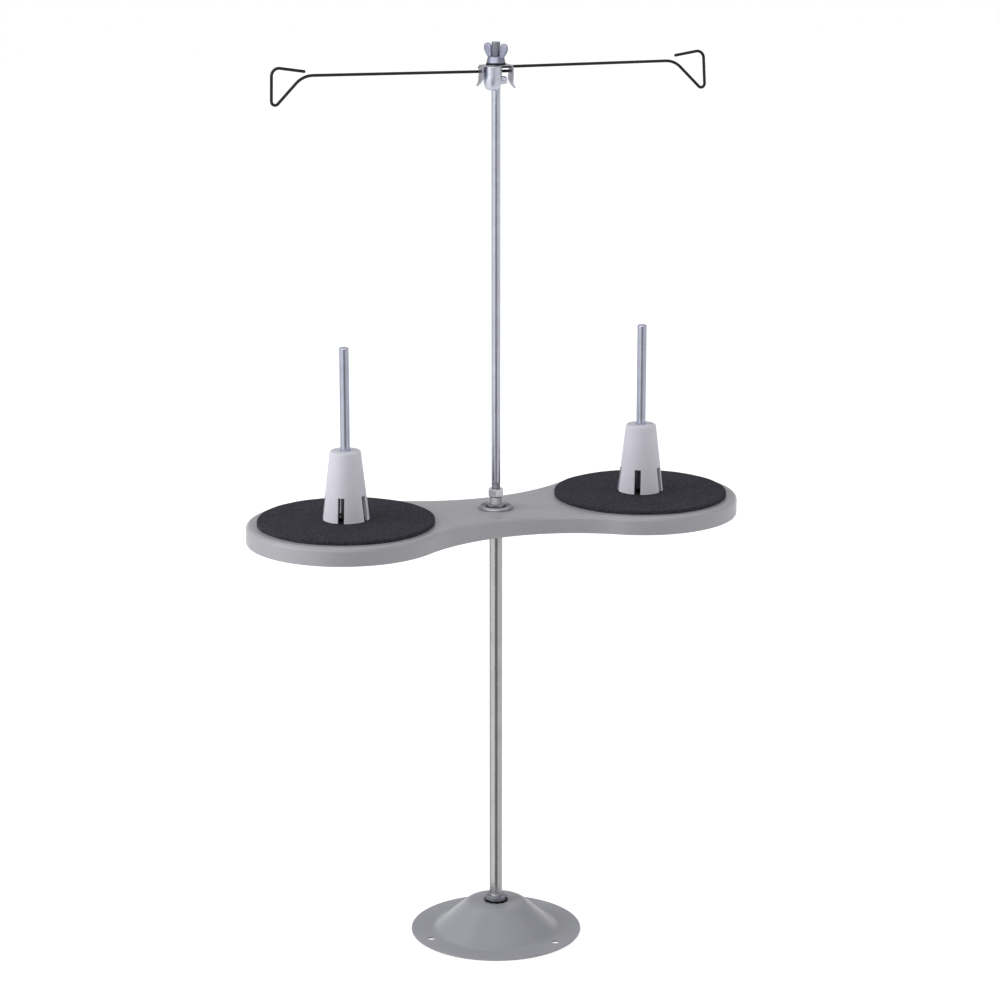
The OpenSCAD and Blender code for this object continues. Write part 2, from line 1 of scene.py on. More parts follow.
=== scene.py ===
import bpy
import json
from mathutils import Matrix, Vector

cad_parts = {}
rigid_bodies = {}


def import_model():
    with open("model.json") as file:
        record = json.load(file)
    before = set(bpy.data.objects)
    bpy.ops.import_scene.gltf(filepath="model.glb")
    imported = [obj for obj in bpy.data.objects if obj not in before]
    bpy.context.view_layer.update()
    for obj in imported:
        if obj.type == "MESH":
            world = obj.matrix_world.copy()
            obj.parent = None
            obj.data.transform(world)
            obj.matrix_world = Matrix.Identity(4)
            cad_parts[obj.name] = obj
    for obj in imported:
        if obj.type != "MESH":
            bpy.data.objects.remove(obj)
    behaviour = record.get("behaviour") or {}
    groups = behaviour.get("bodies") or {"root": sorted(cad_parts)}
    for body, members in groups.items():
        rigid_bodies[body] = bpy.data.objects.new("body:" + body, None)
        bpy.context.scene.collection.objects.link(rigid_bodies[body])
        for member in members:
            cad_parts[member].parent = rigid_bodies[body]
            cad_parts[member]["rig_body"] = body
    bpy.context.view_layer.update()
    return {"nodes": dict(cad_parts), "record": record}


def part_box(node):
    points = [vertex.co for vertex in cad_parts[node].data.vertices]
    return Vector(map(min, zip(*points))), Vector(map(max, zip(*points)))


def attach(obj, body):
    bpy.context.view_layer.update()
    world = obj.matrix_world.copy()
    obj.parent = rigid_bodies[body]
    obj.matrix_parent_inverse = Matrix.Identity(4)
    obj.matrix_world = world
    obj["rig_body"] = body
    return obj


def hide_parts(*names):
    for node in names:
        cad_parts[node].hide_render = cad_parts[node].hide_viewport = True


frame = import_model()

import json
import math

import bmesh
import bpy
import numpy as np
from mathutils import Vector

# Camera: stands left of the front and looks a little down on the stand through a long lens, as in the
# photograph. The small shift puts the post where the photograph has it.
camera_turn = math.radians(-21.72)
camera_tilt = math.radians(14.23)
camera_distance = 2.032
camera_target = Vector((0.0, 0.0, 0.314))
camera_sensor = 36.0
camera_lens = 106.7
camera_shift = 0.0041


def bearing(turn, tilt):
    """Direction away from the stand: turn runs from the front towards the right, tilt up from level."""
    return Vector((math.sin(turn) * math.cos(tilt), -math.cos(turn) * math.cos(tilt), math.sin(tilt)))


camera_back = bearing(camera_turn, camera_tilt)
camera = bpy.data.objects.new("camera", bpy.data.cameras.new("camera"))
camera.data.sensor_width = camera_sensor
camera.data.lens = camera_lens
camera.data.shift_x = camera_shift
camera.location = camera_target + camera_distance * camera_back
camera.rotation_euler = camera_back.to_track_quat("Z", "Y").to_euler()
bpy.context.scene.collection.objects.link(camera)
bpy.context.scene.camera = camera

# Studio: a pale floor in a white room with two soft boxes, as for a catalogue picture. The upright cards, a
# low and a high row, are seen by shiny pieces only, which don't see the soft boxes: they give the plated
# tube and rod a bright left side, a dark middle and a grey right side.
white = (1.0, 1.0, 1.0, 1.0)
room_light = 0.6
floor_edge = 6.0
floor_sink = 0.0003
floor_white = 0.76
floor_lift = 0.56
card_reach = 3.2
card_low = -2.6
card_split = 0.65
front_split = 0.9
front_high = 2.2
card_high = 3.2
cards = (("dark_card", -20.0, 30.0, card_low, front_split, 0.19),
         ("right_card", 30.0, 148.0, card_low, card_split, 0.74),
         ("back_card", 148.0, 214.0, card_low, card_split, 0.95),
         ("rear_card", 214.0, 262.0, card_low, card_split, 0.62),
         ("high_front_card", -75.0, 14.0, front_split, front_high, 2.1),
         ("high_right_card", 30.0, 148.0, card_split, card_high, 0.45),
         ("high_back_card", 148.0, 214.0, card_split, card_high, 0.46),
         ("high_rear_card", 214.0, 262.0, card_split, card_high, 0.50))
soft_boxes = (("key_box", -75.0, 22.0, 2.3, 1.5, 38.0), ("fill_box", 80.0, 22.0, 2.6, 1.6, 17.0))


def put(tree, kind, sockets=None, **settings):
    """Adds a shader node: settings are its own options, and each named socket gets a value or a link."""
    made = tree.nodes.new("ShaderNode" + kind)
    for option, value in settings.items():
        setattr(made, option, value)
    for socket, value in (sockets or {}).items():
        if isinstance(value, bpy.types.NodeSocket):
            tree.links.new(value, made.inputs[socket])
        else:
            made.inputs[socket].default_value = value
    return made


def new_material(name, **values):
    """A material, its node tree and its shader, whose plain sockets are named with _ for each space."""
    material = bpy.data.materials.new(name)
    material.use_nodes = True
    shader = material.node_tree.nodes["Principled BSDF"]
    for socket, value in values.items():
        shader.inputs[socket.replace("_", " ")].default_value = value
    return material, material.node_tree, shader


def skin(points, ring=True, loop=False, keep=None):
    """Quads over a grid of points[row, column]: ring joins the last column to the first, loop the last
    row to the first, and keep picks the quads that stay."""
    rows, columns = points.shape[:2]
    row = np.arange(rows if loop else rows - 1)[:, None]
    column = np.arange(columns if ring else columns - 1)[None, :]
    next_row = (row + 1) % rows
    next_column = (column + 1) % columns
    quads = np.stack([row * columns + column, row * columns + next_column,
                      next_row * columns + next_column, next_row * columns + column], axis=-1)
    if keep is not None:
        quads = quads[keep]
    return points.reshape(-1, 3), quads.reshape(-1, 4)


def make_piece(name, *skins, sharp=35.0):
    """One mesh object from skins: joined, merged where they meet, with its faces turned outwards and its
    edges crisp where they turn by more than the sharp angle."""
    merge_reach = 2e-6
    least_edge = 1e-6
    starts = np.cumsum([0] + [len(points) for points, _ in skins])
    points = np.concatenate([points for points, _ in skins])
    quads = np.concatenate([quads + start for (_, quads), start in zip(skins, starts)])
    mesh = bpy.data.meshes.new(name)
    mesh.from_pydata(points, [], quads.tolist())
    work = bmesh.new()
    work.from_mesh(mesh)
    bmesh.ops.remove_doubles(work, verts=work.verts, dist=merge_reach)
    bmesh.ops.dissolve_degenerate(work, edges=work.edges, dist=least_edge)
    bmesh.ops.recalc_face_normals(work, faces=work.faces)
    work.to_mesh(mesh)
    work.free()
    mesh.shade_smooth()
    mesh.set_sharp_from_angle(angle=math.radians(sharp))
    piece = bpy.data.objects.new(name, mesh)
    bpy.context.scene.collection.objects.link(piece)
    return piece


def card_wall(start, end, low, high):
    """Upright curved wall: every point lies at one distance from the post, from angle start to angle end
    as counted from the camera towards its right, and between two heights."""
    turn = camera_turn + np.radians(np.linspace(start, end, 17))[:, None]
    height = np.array([low, high])[None, :]
    turn, height = np.broadcast_arrays(turn, height)
    return np.stack([card_reach * np.sin(turn), -card_reach * np.cos(turn), height], axis=-1)


room = bpy.data.worlds.new("room")
bpy.context.scene.world = room
bpy.context.scene.view_settings.view_transform = "Standard"
room.use_nodes = True
room_tree = room.node_tree
ray = put(room_tree, "LightPath").outputs
seen = put(room_tree, "Math", {0: ray["Is Camera Ray"], 1: ray["Is Glossy Ray"]}, operation="MAXIMUM")
seen = put(room_tree, "Math", {0: seen.outputs[0], 1: ray["Is Transmission Ray"]}, operation="MAXIMUM")
room_level = put(room_tree, "MapRange", {"Value": seen.outputs[0], "To Min": room_light, "To Max": 1.0})
room_sky = room_tree.nodes["Background"]
room_sky.inputs["Color"].default_value = white
room_tree.links.new(room_level.outputs[0], room_sky.inputs["Strength"])

across, along = np.meshgrid([-floor_edge, floor_edge], [-floor_edge, floor_edge], indexing="ij")
floor_points = np.stack([across, along, np.full(across.shape, -floor_sink)], axis=-1)
floor = make_piece("floor", skin(floor_points, ring=False))
pale_floor, floor_tree, floor_shader = new_material(
    "pale_floor", Base_Color=(floor_white, floor_white, floor_white, 1.0), Roughness=0.9,
    Emission_Color=white)
floor_ray = put(floor_tree, "LightPath").outputs
floor_glow = put(floor_tree, "Math", {0: floor_ray["Is Camera Ray"], 1: floor_lift}, operation="MULTIPLY")
floor_tree.links.new(floor_glow.outputs[0], floor_shader.inputs["Emission Strength"])
floor.data.materials.append(pale_floor)
floor.visible_glossy = False

for card_name, card_start, card_end, card_foot, card_top, card_level in cards:
    card = make_piece(card_name, skin(card_wall(card_start, card_end, card_foot, card_top), ring=False))
    card_glow = (card_level, card_level, card_level, 1.0)
    card_paper = new_material(card_name, Base_Color=(0.0, 0.0, 0.0, 1.0), Roughness=1.0,
                              Emission_Color=card_glow, Emission_Strength=1.0)[0]
    card.data.materials.append(card_paper)
    card.visible_camera = False
    card.visible_diffuse = False
    card.visible_transmission = False
    card.visible_shadow = False

for box_name, box_turn, box_tilt, box_distance, box_size, box_power in soft_boxes:
    soft_box = bpy.data.objects.new(box_name, bpy.data.lights.new(box_name, "AREA"))
    soft_box.data.size = box_size
    soft_box.data.energy = box_power
    box_back = bearing(camera_turn + math.radians(box_turn), math.radians(box_tilt))
    soft_box.location = camera_target + box_distance * box_back
    soft_box.rotation_euler = box_back.to_track_quat("Z", "Y").to_euler()
    soft_box.visible_glossy = False
    bpy.context.scene.collection.objects.link(soft_box)

# Base dish: one round pressing of steel sheet with a flat flange, a domed middle and three screw holes.
# It is stove-enamelled in satin grey, and its cut edge is rounded over by the paint.
base_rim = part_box("base_dish")[1].x
dome_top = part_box("base_dish")[1].z
base_screws = next(mount for mount in frame["record"]["mounts"] if mount["name"] == "base_screws")
base_sheet = base_screws["pos_m"][2]
dome_foot = 0.043
dome_shoulder = 0.020
dome_bend = 0.0074
tube_hole = 0.0046
screw_circle = 0.0505
screw_hole = 0.00275
screw_turn = math.radians(64.0)
screw_count = 3
base_grey = (0.291, 0.295, 0.325, 1.0)


def dress(piece, node, material):
    """Gives a piece its material and the body of a node of the frame, and hides the node."""
    piece.data.materials.append(material)
    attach(piece, frame["nodes"][node]["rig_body"])
    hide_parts(node)


def eased(corners, radii, closed=False, steps=6):
    """Line through corner points with rounded corners: each corner is swapped for an arc of its radius,
    which leaves the run in at radius * tan(turn / 2) before the corner and turns evenly to the run out.
    A point just before and just after each arc keeps the runs flat."""
    corners = np.asarray(corners, dtype=float)
    into = corners - np.roll(corners, 1, axis=0)
    into /= np.linalg.norm(into, axis=1, keepdims=True)
    out = np.roll(into, -1, axis=0)
    turn = np.arctan2(into[:, 0] * out[:, 1] - into[:, 1] * out[:, 0], np.sum(into * out, axis=1))
    radii = np.broadcast_to(radii, turn.shape)
    back = (radii * np.tan(np.abs(turn) / 2))[:, None]
    inwards = np.stack([-into[:, 1], into[:, 0]], axis=1) * np.sign(turn)[:, None]
    centre = corners - into * back + inwards * radii[:, None]
    arm = -inwards * radii[:, None]
    swing = turn[:, None] * np.linspace(0.0, 1.0, steps + 1)
    arc_x = centre[:, :1] + arm[:, :1] * np.cos(swing) - arm[:, 1:] * np.sin(swing)
    arc_y = centre[:, 1:] + arm[:, :1] * np.sin(swing) + arm[:, 1:] * np.cos(swing)
    arcs = np.stack([arc_x, arc_y], axis=-1)
    flat_from = 1.15 * back
    before = corners - into * flat_from
    after = corners + out * flat_from
    arcs = np.concatenate([before[:, None], arcs, after[:, None]], axis=1)
    if closed:
        return arcs.reshape(-1, 2)
    return np.concatenate([corners[:1], arcs[1:-1].reshape(-1, 2), corners[-1:]])


def left_of(line):
    """Unit vectors to the left of a line: the mean direction of the two runs at each point, turned by a
    quarter turn."""
    runs = np.diff(line, axis=0)
    runs /= np.linalg.norm(runs, axis=1, keepdims=True)
    along = np.concatenate([runs[:1], runs[:-1] + runs[1:], runs[-1:]])
    along /= np.linalg.norm(along, axis=1, keepdims=True)
    return np.stack([-along[:, 1], along[:, 0]], axis=1)


def spun(radius, height, turn, x=0.0):
    """Points round an upright axis that stands at x, from their radius, height and angle."""
    radius, height, turn = np.broadcast_arrays(radius, height, turn)
    return np.stack([x + radius * np.cos(turn), radius * np.sin(turn), height], axis=-1)


def dish_skins():
    """The sheet's middle line is turned about the post and moved by half the sheet to each side. Round a
    screw hole, the rows of the flange stop at the hole's two edges, circle * cos(a) -+ the root of
    (hole squared - (circle * sin(a)) squared), where a is the angle from the hole's middle."""
    half_sheet = base_sheet / 2
    rim = base_rim - half_sheet
    middle = eased([(tube_hole, dome_top - half_sheet), (dome_shoulder, dome_top - half_sheet),
                    (dome_foot, half_sheet), (rim, half_sheet)], dome_bend, steps=12)[:-1]
    aside = left_of(middle) * half_sheet
    upper = middle + aside
    lower = middle - aside
    half = math.asin(screw_hole / screw_circle)
    window = np.arcsin(screw_hole / screw_circle * np.sin(np.linspace(-math.pi / 2, math.pi / 2, 19)))
    pitch = 2 * math.pi / screw_count
    sector = np.concatenate([window, np.linspace(half, pitch - half, 82)[1:-1]])
    from_hole = np.tile(np.where(sector < pitch / 2, sector, sector - pitch), screw_count)
    turn = screw_turn + (np.arange(screw_count)[:, None] * pitch + sector).ravel()
    near_hole = np.clip(from_hole, -half, half)
    opening = np.sqrt(np.maximum(0.0, screw_hole ** 2 - (screw_circle * np.sin(near_hole)) ** 2))
    hole_near = screw_circle * np.cos(near_hole) - opening
    hole_far = screw_circle * np.cos(near_hole) + opening
    share = np.linspace(0.0, 1.0, 6)[:, None]
    foot = middle[-1, 0]
    inner = foot + (hole_near - foot) * share[1:]
    outer = hole_far + (rim - hole_far) * share
    lip = np.linspace(math.pi / 2, -math.pi / 2, 9)[1:-1]
    lip_radius = (rim + half_sheet * np.cos(lip))[:, None]
    all_round = np.ones((1, len(turn)))
    radius = np.concatenate([upper[:, :1] * all_round, inner, outer, lip_radius * all_round,
                             outer[::-1], inner[::-1], lower[::-1, :1] * all_round])
    flange = len(inner) + len(outer)
    height = np.concatenate([upper[:, 1], np.full(flange, base_sheet), half_sheet * (1 + np.sin(lip)),
                             np.zeros(flange), lower[::-1, 1]])[:, None]
    in_hole = np.abs(from_hole + 0.5 * (np.roll(turn, -1) - turn) % pitch) < half
    keep = np.ones(radius.shape, dtype=bool)
    keep[len(upper) + len(inner) - 1] = ~in_hole
    keep[-len(lower) - len(inner) - 1] = ~in_hole
    faces = np.array([[base_sheet], [0.0]])
    walls = [skin(spun(edge, faces, turn), keep=in_hole[None, :]) for edge in (hole_near, hole_far)]
    return [skin(spun(radius, height, turn), loop=True, keep=keep)] + walls


def new_group(name, given, wanted):
    """An empty shader node group with its number sockets, and the inside ends of those sockets."""
    group = bpy.data.node_groups.new(name, "ShaderNodeTree")
    for socket, value in given.items():
        made = group.interface.new_socket(socket, in_out="INPUT", socket_type="NodeSocketFloat")
        made.default_value = value
    for socket in wanted:
        group.interface.new_socket(socket, in_out="OUTPUT", socket_type="NodeSocketFloat")
    return group, group.nodes.new("NodeGroupInput").outputs, group.nodes.new("NodeGroupOutput").inputs


def place_group(tree, group, **values):
    """Places a shader node group in a material and gives its sockets their values."""
    made = tree.nodes.new("ShaderNodeGroup")
    made.node_tree = group
    for socket, value in values.items():
        made.inputs[socket].default_value = value
    return made.outputs


# Mottle is a cloudy change from Low to High over patches of one Size.
mottle, given, wanted = new_group("mottle", {"Size": 0.004, "Low": 0.0, "High": 1.0}, ["Value"])
spot = put(mottle, "TexCoord").outputs["Object"]
fineness = put(mottle, "Math", {0: 1.0, 1: given["Size"]}, operation="DIVIDE").outputs[0]
cloud = put(mottle, "TexNoise", {"Vector": spot, "Scale": fineness, "Detail": 4.0,
                                 "Roughness": 0.6}).outputs[0]
spread = put(mottle, "MapRange", {"Value": cloud, "From Min": 0.3, "From Max": 0.7,
                                  "To Min": given["Low"], "To Max": given["High"]}).outputs[0]
mottle.links.new(spread, wanted["Value"])

# Edge wear is a mask that is 1 along outer edges, broken up by a cloud, and 0 on flat faces.
edge_wear, given, wanted = new_group("edge_wear", {"Width": 0.0006, "Amount": 1.0}, ["Mask"])
rounded = put(edge_wear, "Bevel", {"Radius": given["Width"]}, samples=4).outputs[0]
straight = put(edge_wear, "NewGeometry").outputs["Normal"]
likeness = put(edge_wear, "VectorMath", {0: rounded, 1: straight},
               operation="DOT_PRODUCT").outputs["Value"]
edge_mask = put(edge_wear, "MapRange", {"Value": likeness, "From Min": 0.995, "From Max": 0.9}).outputs[0]
spot = put(edge_wear, "TexCoord").outputs["Object"]
cloud = put(edge_wear, "TexNoise", {"Vector": spot, "Scale": 420.0, "Detail": 3.0}).outputs[0]
broken = put(edge_wear, "MapRange", {"Value": cloud, "From Min": 0.42, "From Max": 0.6}).outputs[0]
edge_mask = put(edge_wear, "Math", {0: edge_mask, 1: broken}, operation="MULTIPLY").outputs[0]
edge_mask = put(edge_wear, "Math", {0: edge_mask, 1: given["Amount"]}, operation="MULTIPLY").outputs[0]
edge_wear.links.new(edge_mask, wanted["Mask"])


def toned(colour, share):
    """A colour made darker or lighter by one share in all its parts."""
    return tuple(share * part for part in colour[:3]) + (1.0,)


def tinted(tree, colour, factor, other):
    """A colour that goes over to another one by a factor that changes over the surface."""
    return put(tree, "Mix", {0: factor, 6: colour, 7: other}, data_type="RGBA").outputs[2]


def surface(tree, shader, colour, shine, relief, strength, depth):
    """Links what changes over a surface to its shader: colour, roughness, and a relief as bump."""
    tree.links.new(colour, shader.inputs["Base Color"])
    tree.links.new(shine, shader.inputs["Roughness"])
    bump = put(tree, "Bump", {"Height": relief, "Strength": strength, "Distance": depth})
    tree.links.new(bump.outputs[0], shader.inputs["Normal"])


def satin_enamel(name, colour):
    """Satin stoving enamel: a fine orange peel, faint clouds in colour and shine, and rubbed edges."""
    material, tree, shader = new_material(name, Coat_Weight=0.16, Coat_Roughness=0.10)
    cloudy = place_group(tree, mottle, Size=0.03)["Value"]
    worn = place_group(tree, edge_wear, Width=0.0007, Amount=0.35)["Mask"]
    shade = tinted(tree, tinted(tree, colour, cloudy, toned(colour, 0.94)), worn, toned(colour, 1.25))
    shine = place_group(tree, mottle, Size=0.008, Low=0.28, High=0.36)["Value"]
    peel = place_group(tree, mottle, Size=0.0011)["Value"]
    surface(tree, shader, shade, shine, peel, 0.16, 0.00004)
    return material


base_enamel = satin_enamel("base_enamel", base_grey)
dress(make_piece("base_pressing", *dish_skins(), sharp=50.0), "base_dish", base_enamel)

# Base fastening: a dark toothed lock washer and a thin nut clamp the dome to the tube from above, and a
# plain washer and a nut from below. All are zinc-plated steel; the lock washer is drawn near black.
zinc_grey = (0.60, 0.61, 0.65, 1.0)
zinc_edge = (0.80, 0.81, 0.84, 1.0)
smoky_grey = (0.35, 0.355, 0.41, 1.0)
smoky_edge = (0.46, 0.47, 0.51, 1.0)
dark_grey = (0.035, 0.035, 0.040, 1.0)
dark_edge = (0.14, 0.14, 0.15, 1.0)
base_nut_flats = 0.014
lock_washer_rim = 0.0085
lock_washer_root = 0.0071
lock_washer_teeth = 12
lock_washer_sheet = 0.0005


def turned(profile, x=0.0, columns=96):
    """A closed profile of (radius, height) points turned about an upright axis."""
    turn = np.linspace(0.0, 2 * math.pi, columns + 1)[:-1]
    profile = np.asarray(profile)
    return skin(spun(profile[:, :1], profile[:, 1:], turn, x), loop=True)


def washer(bore, rim, low, high, x=0.0):
    """A flat ring with a rounded rim."""
    ease = (high - low) * 0.3
    corners = [(bore, low), (rim, low), (rim, high), (bore, high)]
    return turned(eased(corners, [0.0, ease, ease, ease * 0.5], closed=True, steps=4), x)


def hexagon_nut(flats, bore, low, high, start=0.0, x=0.0):
    """A chamfered nut: its wall lies at the lesser of two radii, the hexagon's, which is half the flats
    over the cosine of the angle from a flat's middle, and the chamfer cone's, 30 degrees to the face."""
    turn = np.linspace(0.0, 2 * math.pi, 145)[:-1]
    hexagon = flats / 2 / np.cos(turn % (math.pi / 3) - math.pi / 6)
    face = flats / 2 * 0.96
    slope = math.tan(math.radians(30.0))
    depth = (flats / 2 / math.cos(math.pi / 6) - face) * slope * np.linspace(0.0, 1.0, 9)
    cone = face + depth / slope
    lead = 0.0003
    rim = np.minimum(np.concatenate([cone, cone[::-1]])[:, None], hexagon)
    flat = np.ones((1, len(turn)))
    radius = np.concatenate([bore * flat, (bore + lead) * flat, rim, (bore + lead) * flat, bore * flat])
    height = np.concatenate([[low + lead, low], low + depth, high - depth[::-1], [high, high - lead]])
    return skin(spun(radius, height[:, None], turn + start, x), loop=True)


def fit_nuts(node, flats, bore, material, start=0.0, places=(0.0,)):
    """Makes a node's nut, or its nuts at some places along X, between its lowest and highest point."""
    low, high = (corner.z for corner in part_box(node))
    nuts = [hexagon_nut(flats, bore, low, high, start, x) for x in places]
    dress(make_piece(node + "_chamfered", *nuts), node, material)


def fit_rings(name, node, bore, rim, material, places=(0.0,)):
    """Makes a node's flat ring, or its rings at some places along X, in the same way."""
    low, high = (corner.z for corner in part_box(node))
    rings = [washer(bore, rim, low, high, x) for x in places]
    dress(make_piece(name, *rings), node, material)


def toothed_washer(low, high):
    """A thin ring whose rim is cut into teeth. Each tooth is twisted: its height grows across the tooth
    and with the distance from the ring."""
    teeth_turn = np.linspace(0.0, 2 * math.pi, lock_washer_teeth * 16 + 1)[:-1]
    across_tooth = (teeth_turn * lock_washer_teeth / (2 * math.pi)) % 1.0
    half_gap = 0.09
    flank = 0.07
    on_tooth = np.clip((0.5 - np.abs(across_tooth - 0.5) - half_gap) / flank, 0.0, 1.0)
    reach = (lock_washer_rim - lock_washer_root) * on_tooth
    share = np.linspace(0.0, 1.0, 6)[:, None]
    radius = np.concatenate([np.full((1, len(reach)), tube_hole), lock_washer_root + reach * share])
    twist = (high - low - lock_washer_sheet) * across_tooth * np.concatenate([[[0.0]], share])
    radius = np.concatenate([radius, radius[::-1]])
    height = low + np.concatenate([lock_washer_sheet + twist, twist[::-1]])
    return skin(spun(radius, height, teeth_turn), loop=True)


def plated_steel(name, colour, low, high, edge):
    """Plated steel: shine in clouds between two roughness values, faint clouds in colour, bright edges."""
    material, tree, shader = new_material(name, Metallic=1.0)
    cloudy = place_group(tree, mottle, Size=0.0025)["Value"]
    worn = place_group(tree, edge_wear, Width=0.0004, Amount=0.6)["Mask"]
    shade = tinted(tree, tinted(tree, colour, cloudy, toned(colour, 0.84)), worn, edge)
    shine = place_group(tree, mottle, Size=0.0012, Low=low, High=high)["Value"]
    pits = place_group(tree, mottle, Size=0.0006)["Value"]
    surface(tree, shader, shade, shine, pits, 0.12, 0.00003)
    return material


zinc_plate = plated_steel("zinc_plate", zinc_grey, 0.22, 0.34, zinc_edge)
smoky_zinc = plated_steel("smoky_zinc", smoky_grey, 0.26, 0.40, smoky_edge)
dark_zinc = plated_steel("dark_zinc", dark_grey, 0.30, 0.45, dark_edge)
fit_nuts("base_top_nut", base_nut_flats, tube_hole, smoky_zinc)
fit_nuts("base_bottom_nut", base_nut_flats, tube_hole, zinc_plate)
base_ring_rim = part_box("base_bottom_washer")[1].x
fit_rings("base_bottom_ring", "base_bottom_washer", tube_hole, base_ring_rim, zinc_plate)
lock_low, lock_high = (corner.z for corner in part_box("base_lock_washer"))
dress(make_piece("base_toothed_ring", toothed_washer(lock_low, lock_high)), "base_lock_washer", dark_zinc)

# Lower tube: drawn steel tube with a fine thread cut on each end, plated in dull nickel.
# It stands in the base nuts, carries the tray's nuts near its top and takes the rod in its bore.
tube_low, tube_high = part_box("lower_tube")
tube_rim = tube_high.x
tube_bore = 0.00306
end_chamfer = 0.0006
fine_pitch = 0.00075
tube_threads = ((tube_low.z, 0.0275), (0.3005, tube_high.z - end_chamfer))
tube_grey = (0.575, 0.565, 0.565, 1.0)


def threaded(radius, low, high, threads, pitch, columns=64):
    """Outside of a round bar from low to high with chamfered ends. Between the two heights of each
    thread the radius drops by up to 0.3 pitches in a wave that climbs one pitch a turn, cut flat at its
    crest and root."""
    turn = np.linspace(0.0, 2 * math.pi, columns + 1)[:-1]
    rows = [np.linspace(low, low + end_chamfer, 4), np.linspace(low + end_chamfer, high - end_chamfer, 9),
            np.linspace(high - end_chamfer, high, 4)]
    rows += [np.arange(start, end, pitch / 8) for start, end in threads]
    height = np.unique(np.round(np.concatenate(rows), 7))
    from_end = np.minimum(height - low, high - height)
    plain = radius - np.maximum(0.0, end_chamfer - from_end)
    inside = sum(np.clip((height - start) / pitch, 0.0, 1.0) * np.clip((end - height) / pitch, 0.0, 1.0)
                 for start, end in threads)
    climb = height[:, None] / pitch - turn / (2 * math.pi)
    wave = np.abs(2 * (climb % 1.0) - 1.0)
    cut = np.clip(1.3 * wave - 0.15, 0.0, 1.0) * 0.3 * pitch * inside[:, None]
    return np.minimum(plain[:, None], radius - cut), height, turn


def tube_skin():
    """The threaded outside, joined at both ends to a plain bore."""
    low, high = tube_low.z, tube_high.z
    outside, height, turn = threaded(tube_rim, low, high, tube_threads, fine_pitch)
    inside = np.full((2, len(turn)), tube_bore)
    heights = np.concatenate([height, [high, low]])
    return skin(spun(np.concatenate([outside, inside]), heights[:, None], turn), loop=True)


# Drawn lines are fine streaks along a bar, from Low to High.
line_inputs = {"Fineness": 2600.0, "Low": 0.0, "High": 1.0}
drawn_lines, given, wanted = new_group("drawn_lines", line_inputs, ["Value"])
spot = put(drawn_lines, "TexCoord").outputs["Object"]
long_spot = put(drawn_lines, "VectorMath", {0: spot, 1: (1.0, 1.0, 0.012)}, operation="MULTIPLY").outputs[0]
streak = put(drawn_lines, "TexNoise", {"Vector": long_spot, "Scale": given["Fineness"],
                                       "Detail": 3.0}).outputs[0]
streak = put(drawn_lines, "MapRange", {"Value": streak, "From Min": 0.3, "From Max": 0.7,
                                       "To Min": given["Low"], "To Max": given["High"]}).outputs[0]
drawn_lines.links.new(streak, wanted["Value"])


def drawn_bar(name, colour, low, high, shade_bands=()):
    """Plated drawn steel: lengthwise streaks in shine and bump, slow clouds in colour, and painted shade:
    the colour darkened to 0.42 of itself between the two heights of each shade band."""
    material, tree, shader = new_material(name, Metallic=1.0)
    cloudy = place_group(tree, mottle, Size=0.012)["Value"]
    shade = tinted(tree, colour, cloudy, toned(colour, 0.86))
    spot = put(tree, "SeparateXYZ", {0: put(tree, "TexCoord").outputs["Object"]}).outputs
    # Painted shade: each band darkens the bar's colour.
    for start, end in shade_bands:
        band = {0: spot["Z"], 1: (start + end) / 2, 2: (end - start) / 2}
        in_shade_band = put(tree, "Math", band, operation="COMPARE").outputs[0]
        shade = tinted(tree, shade, in_shade_band, toned(colour, 0.42))
    shine = place_group(tree, drawn_lines, Fineness=1800.0, Low=low, High=high)["Value"]
    lines = place_group(tree, drawn_lines, Fineness=3200.0)["Value"]
    surface(tree, shader, shade, shine, lines, 0.1, 0.00002)
    return material


dull_nickel = drawn_bar("dull_nickel", tube_grey, 0.18, 0.28)
dress(make_piece("drawn_tube", tube_skin()), "lower_tube", dull_nickel)

# Spool tray: a dog-bone pressing of steel sheet with a rounded edge and a turned-down skirt, in the same
# satin enamel as the base. The tube passes through its middle and a spool pin through each end.
tray_low, tray_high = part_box("spool_tray")
tray_top = tray_high.z
spool_x = (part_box("right_spool_pin")[0].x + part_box("right_spool_pin")[1].x) / 2
tray_end = tray_high.y
tray_neck = 0.032
tray_sheet = 0.0012
tray_edge = 0.003
tray_run = 0.0006
pin_hole = 0.0031
tray_grey = (0.345, 0.345, 0.372, 1.0)


def outwards(start, end, count):
    """Unit vectors in the level plane at evenly spaced angles."""
    turn = np.linspace(start, end, count)
    return np.stack([np.cos(turn), np.sin(turn)], axis=1)


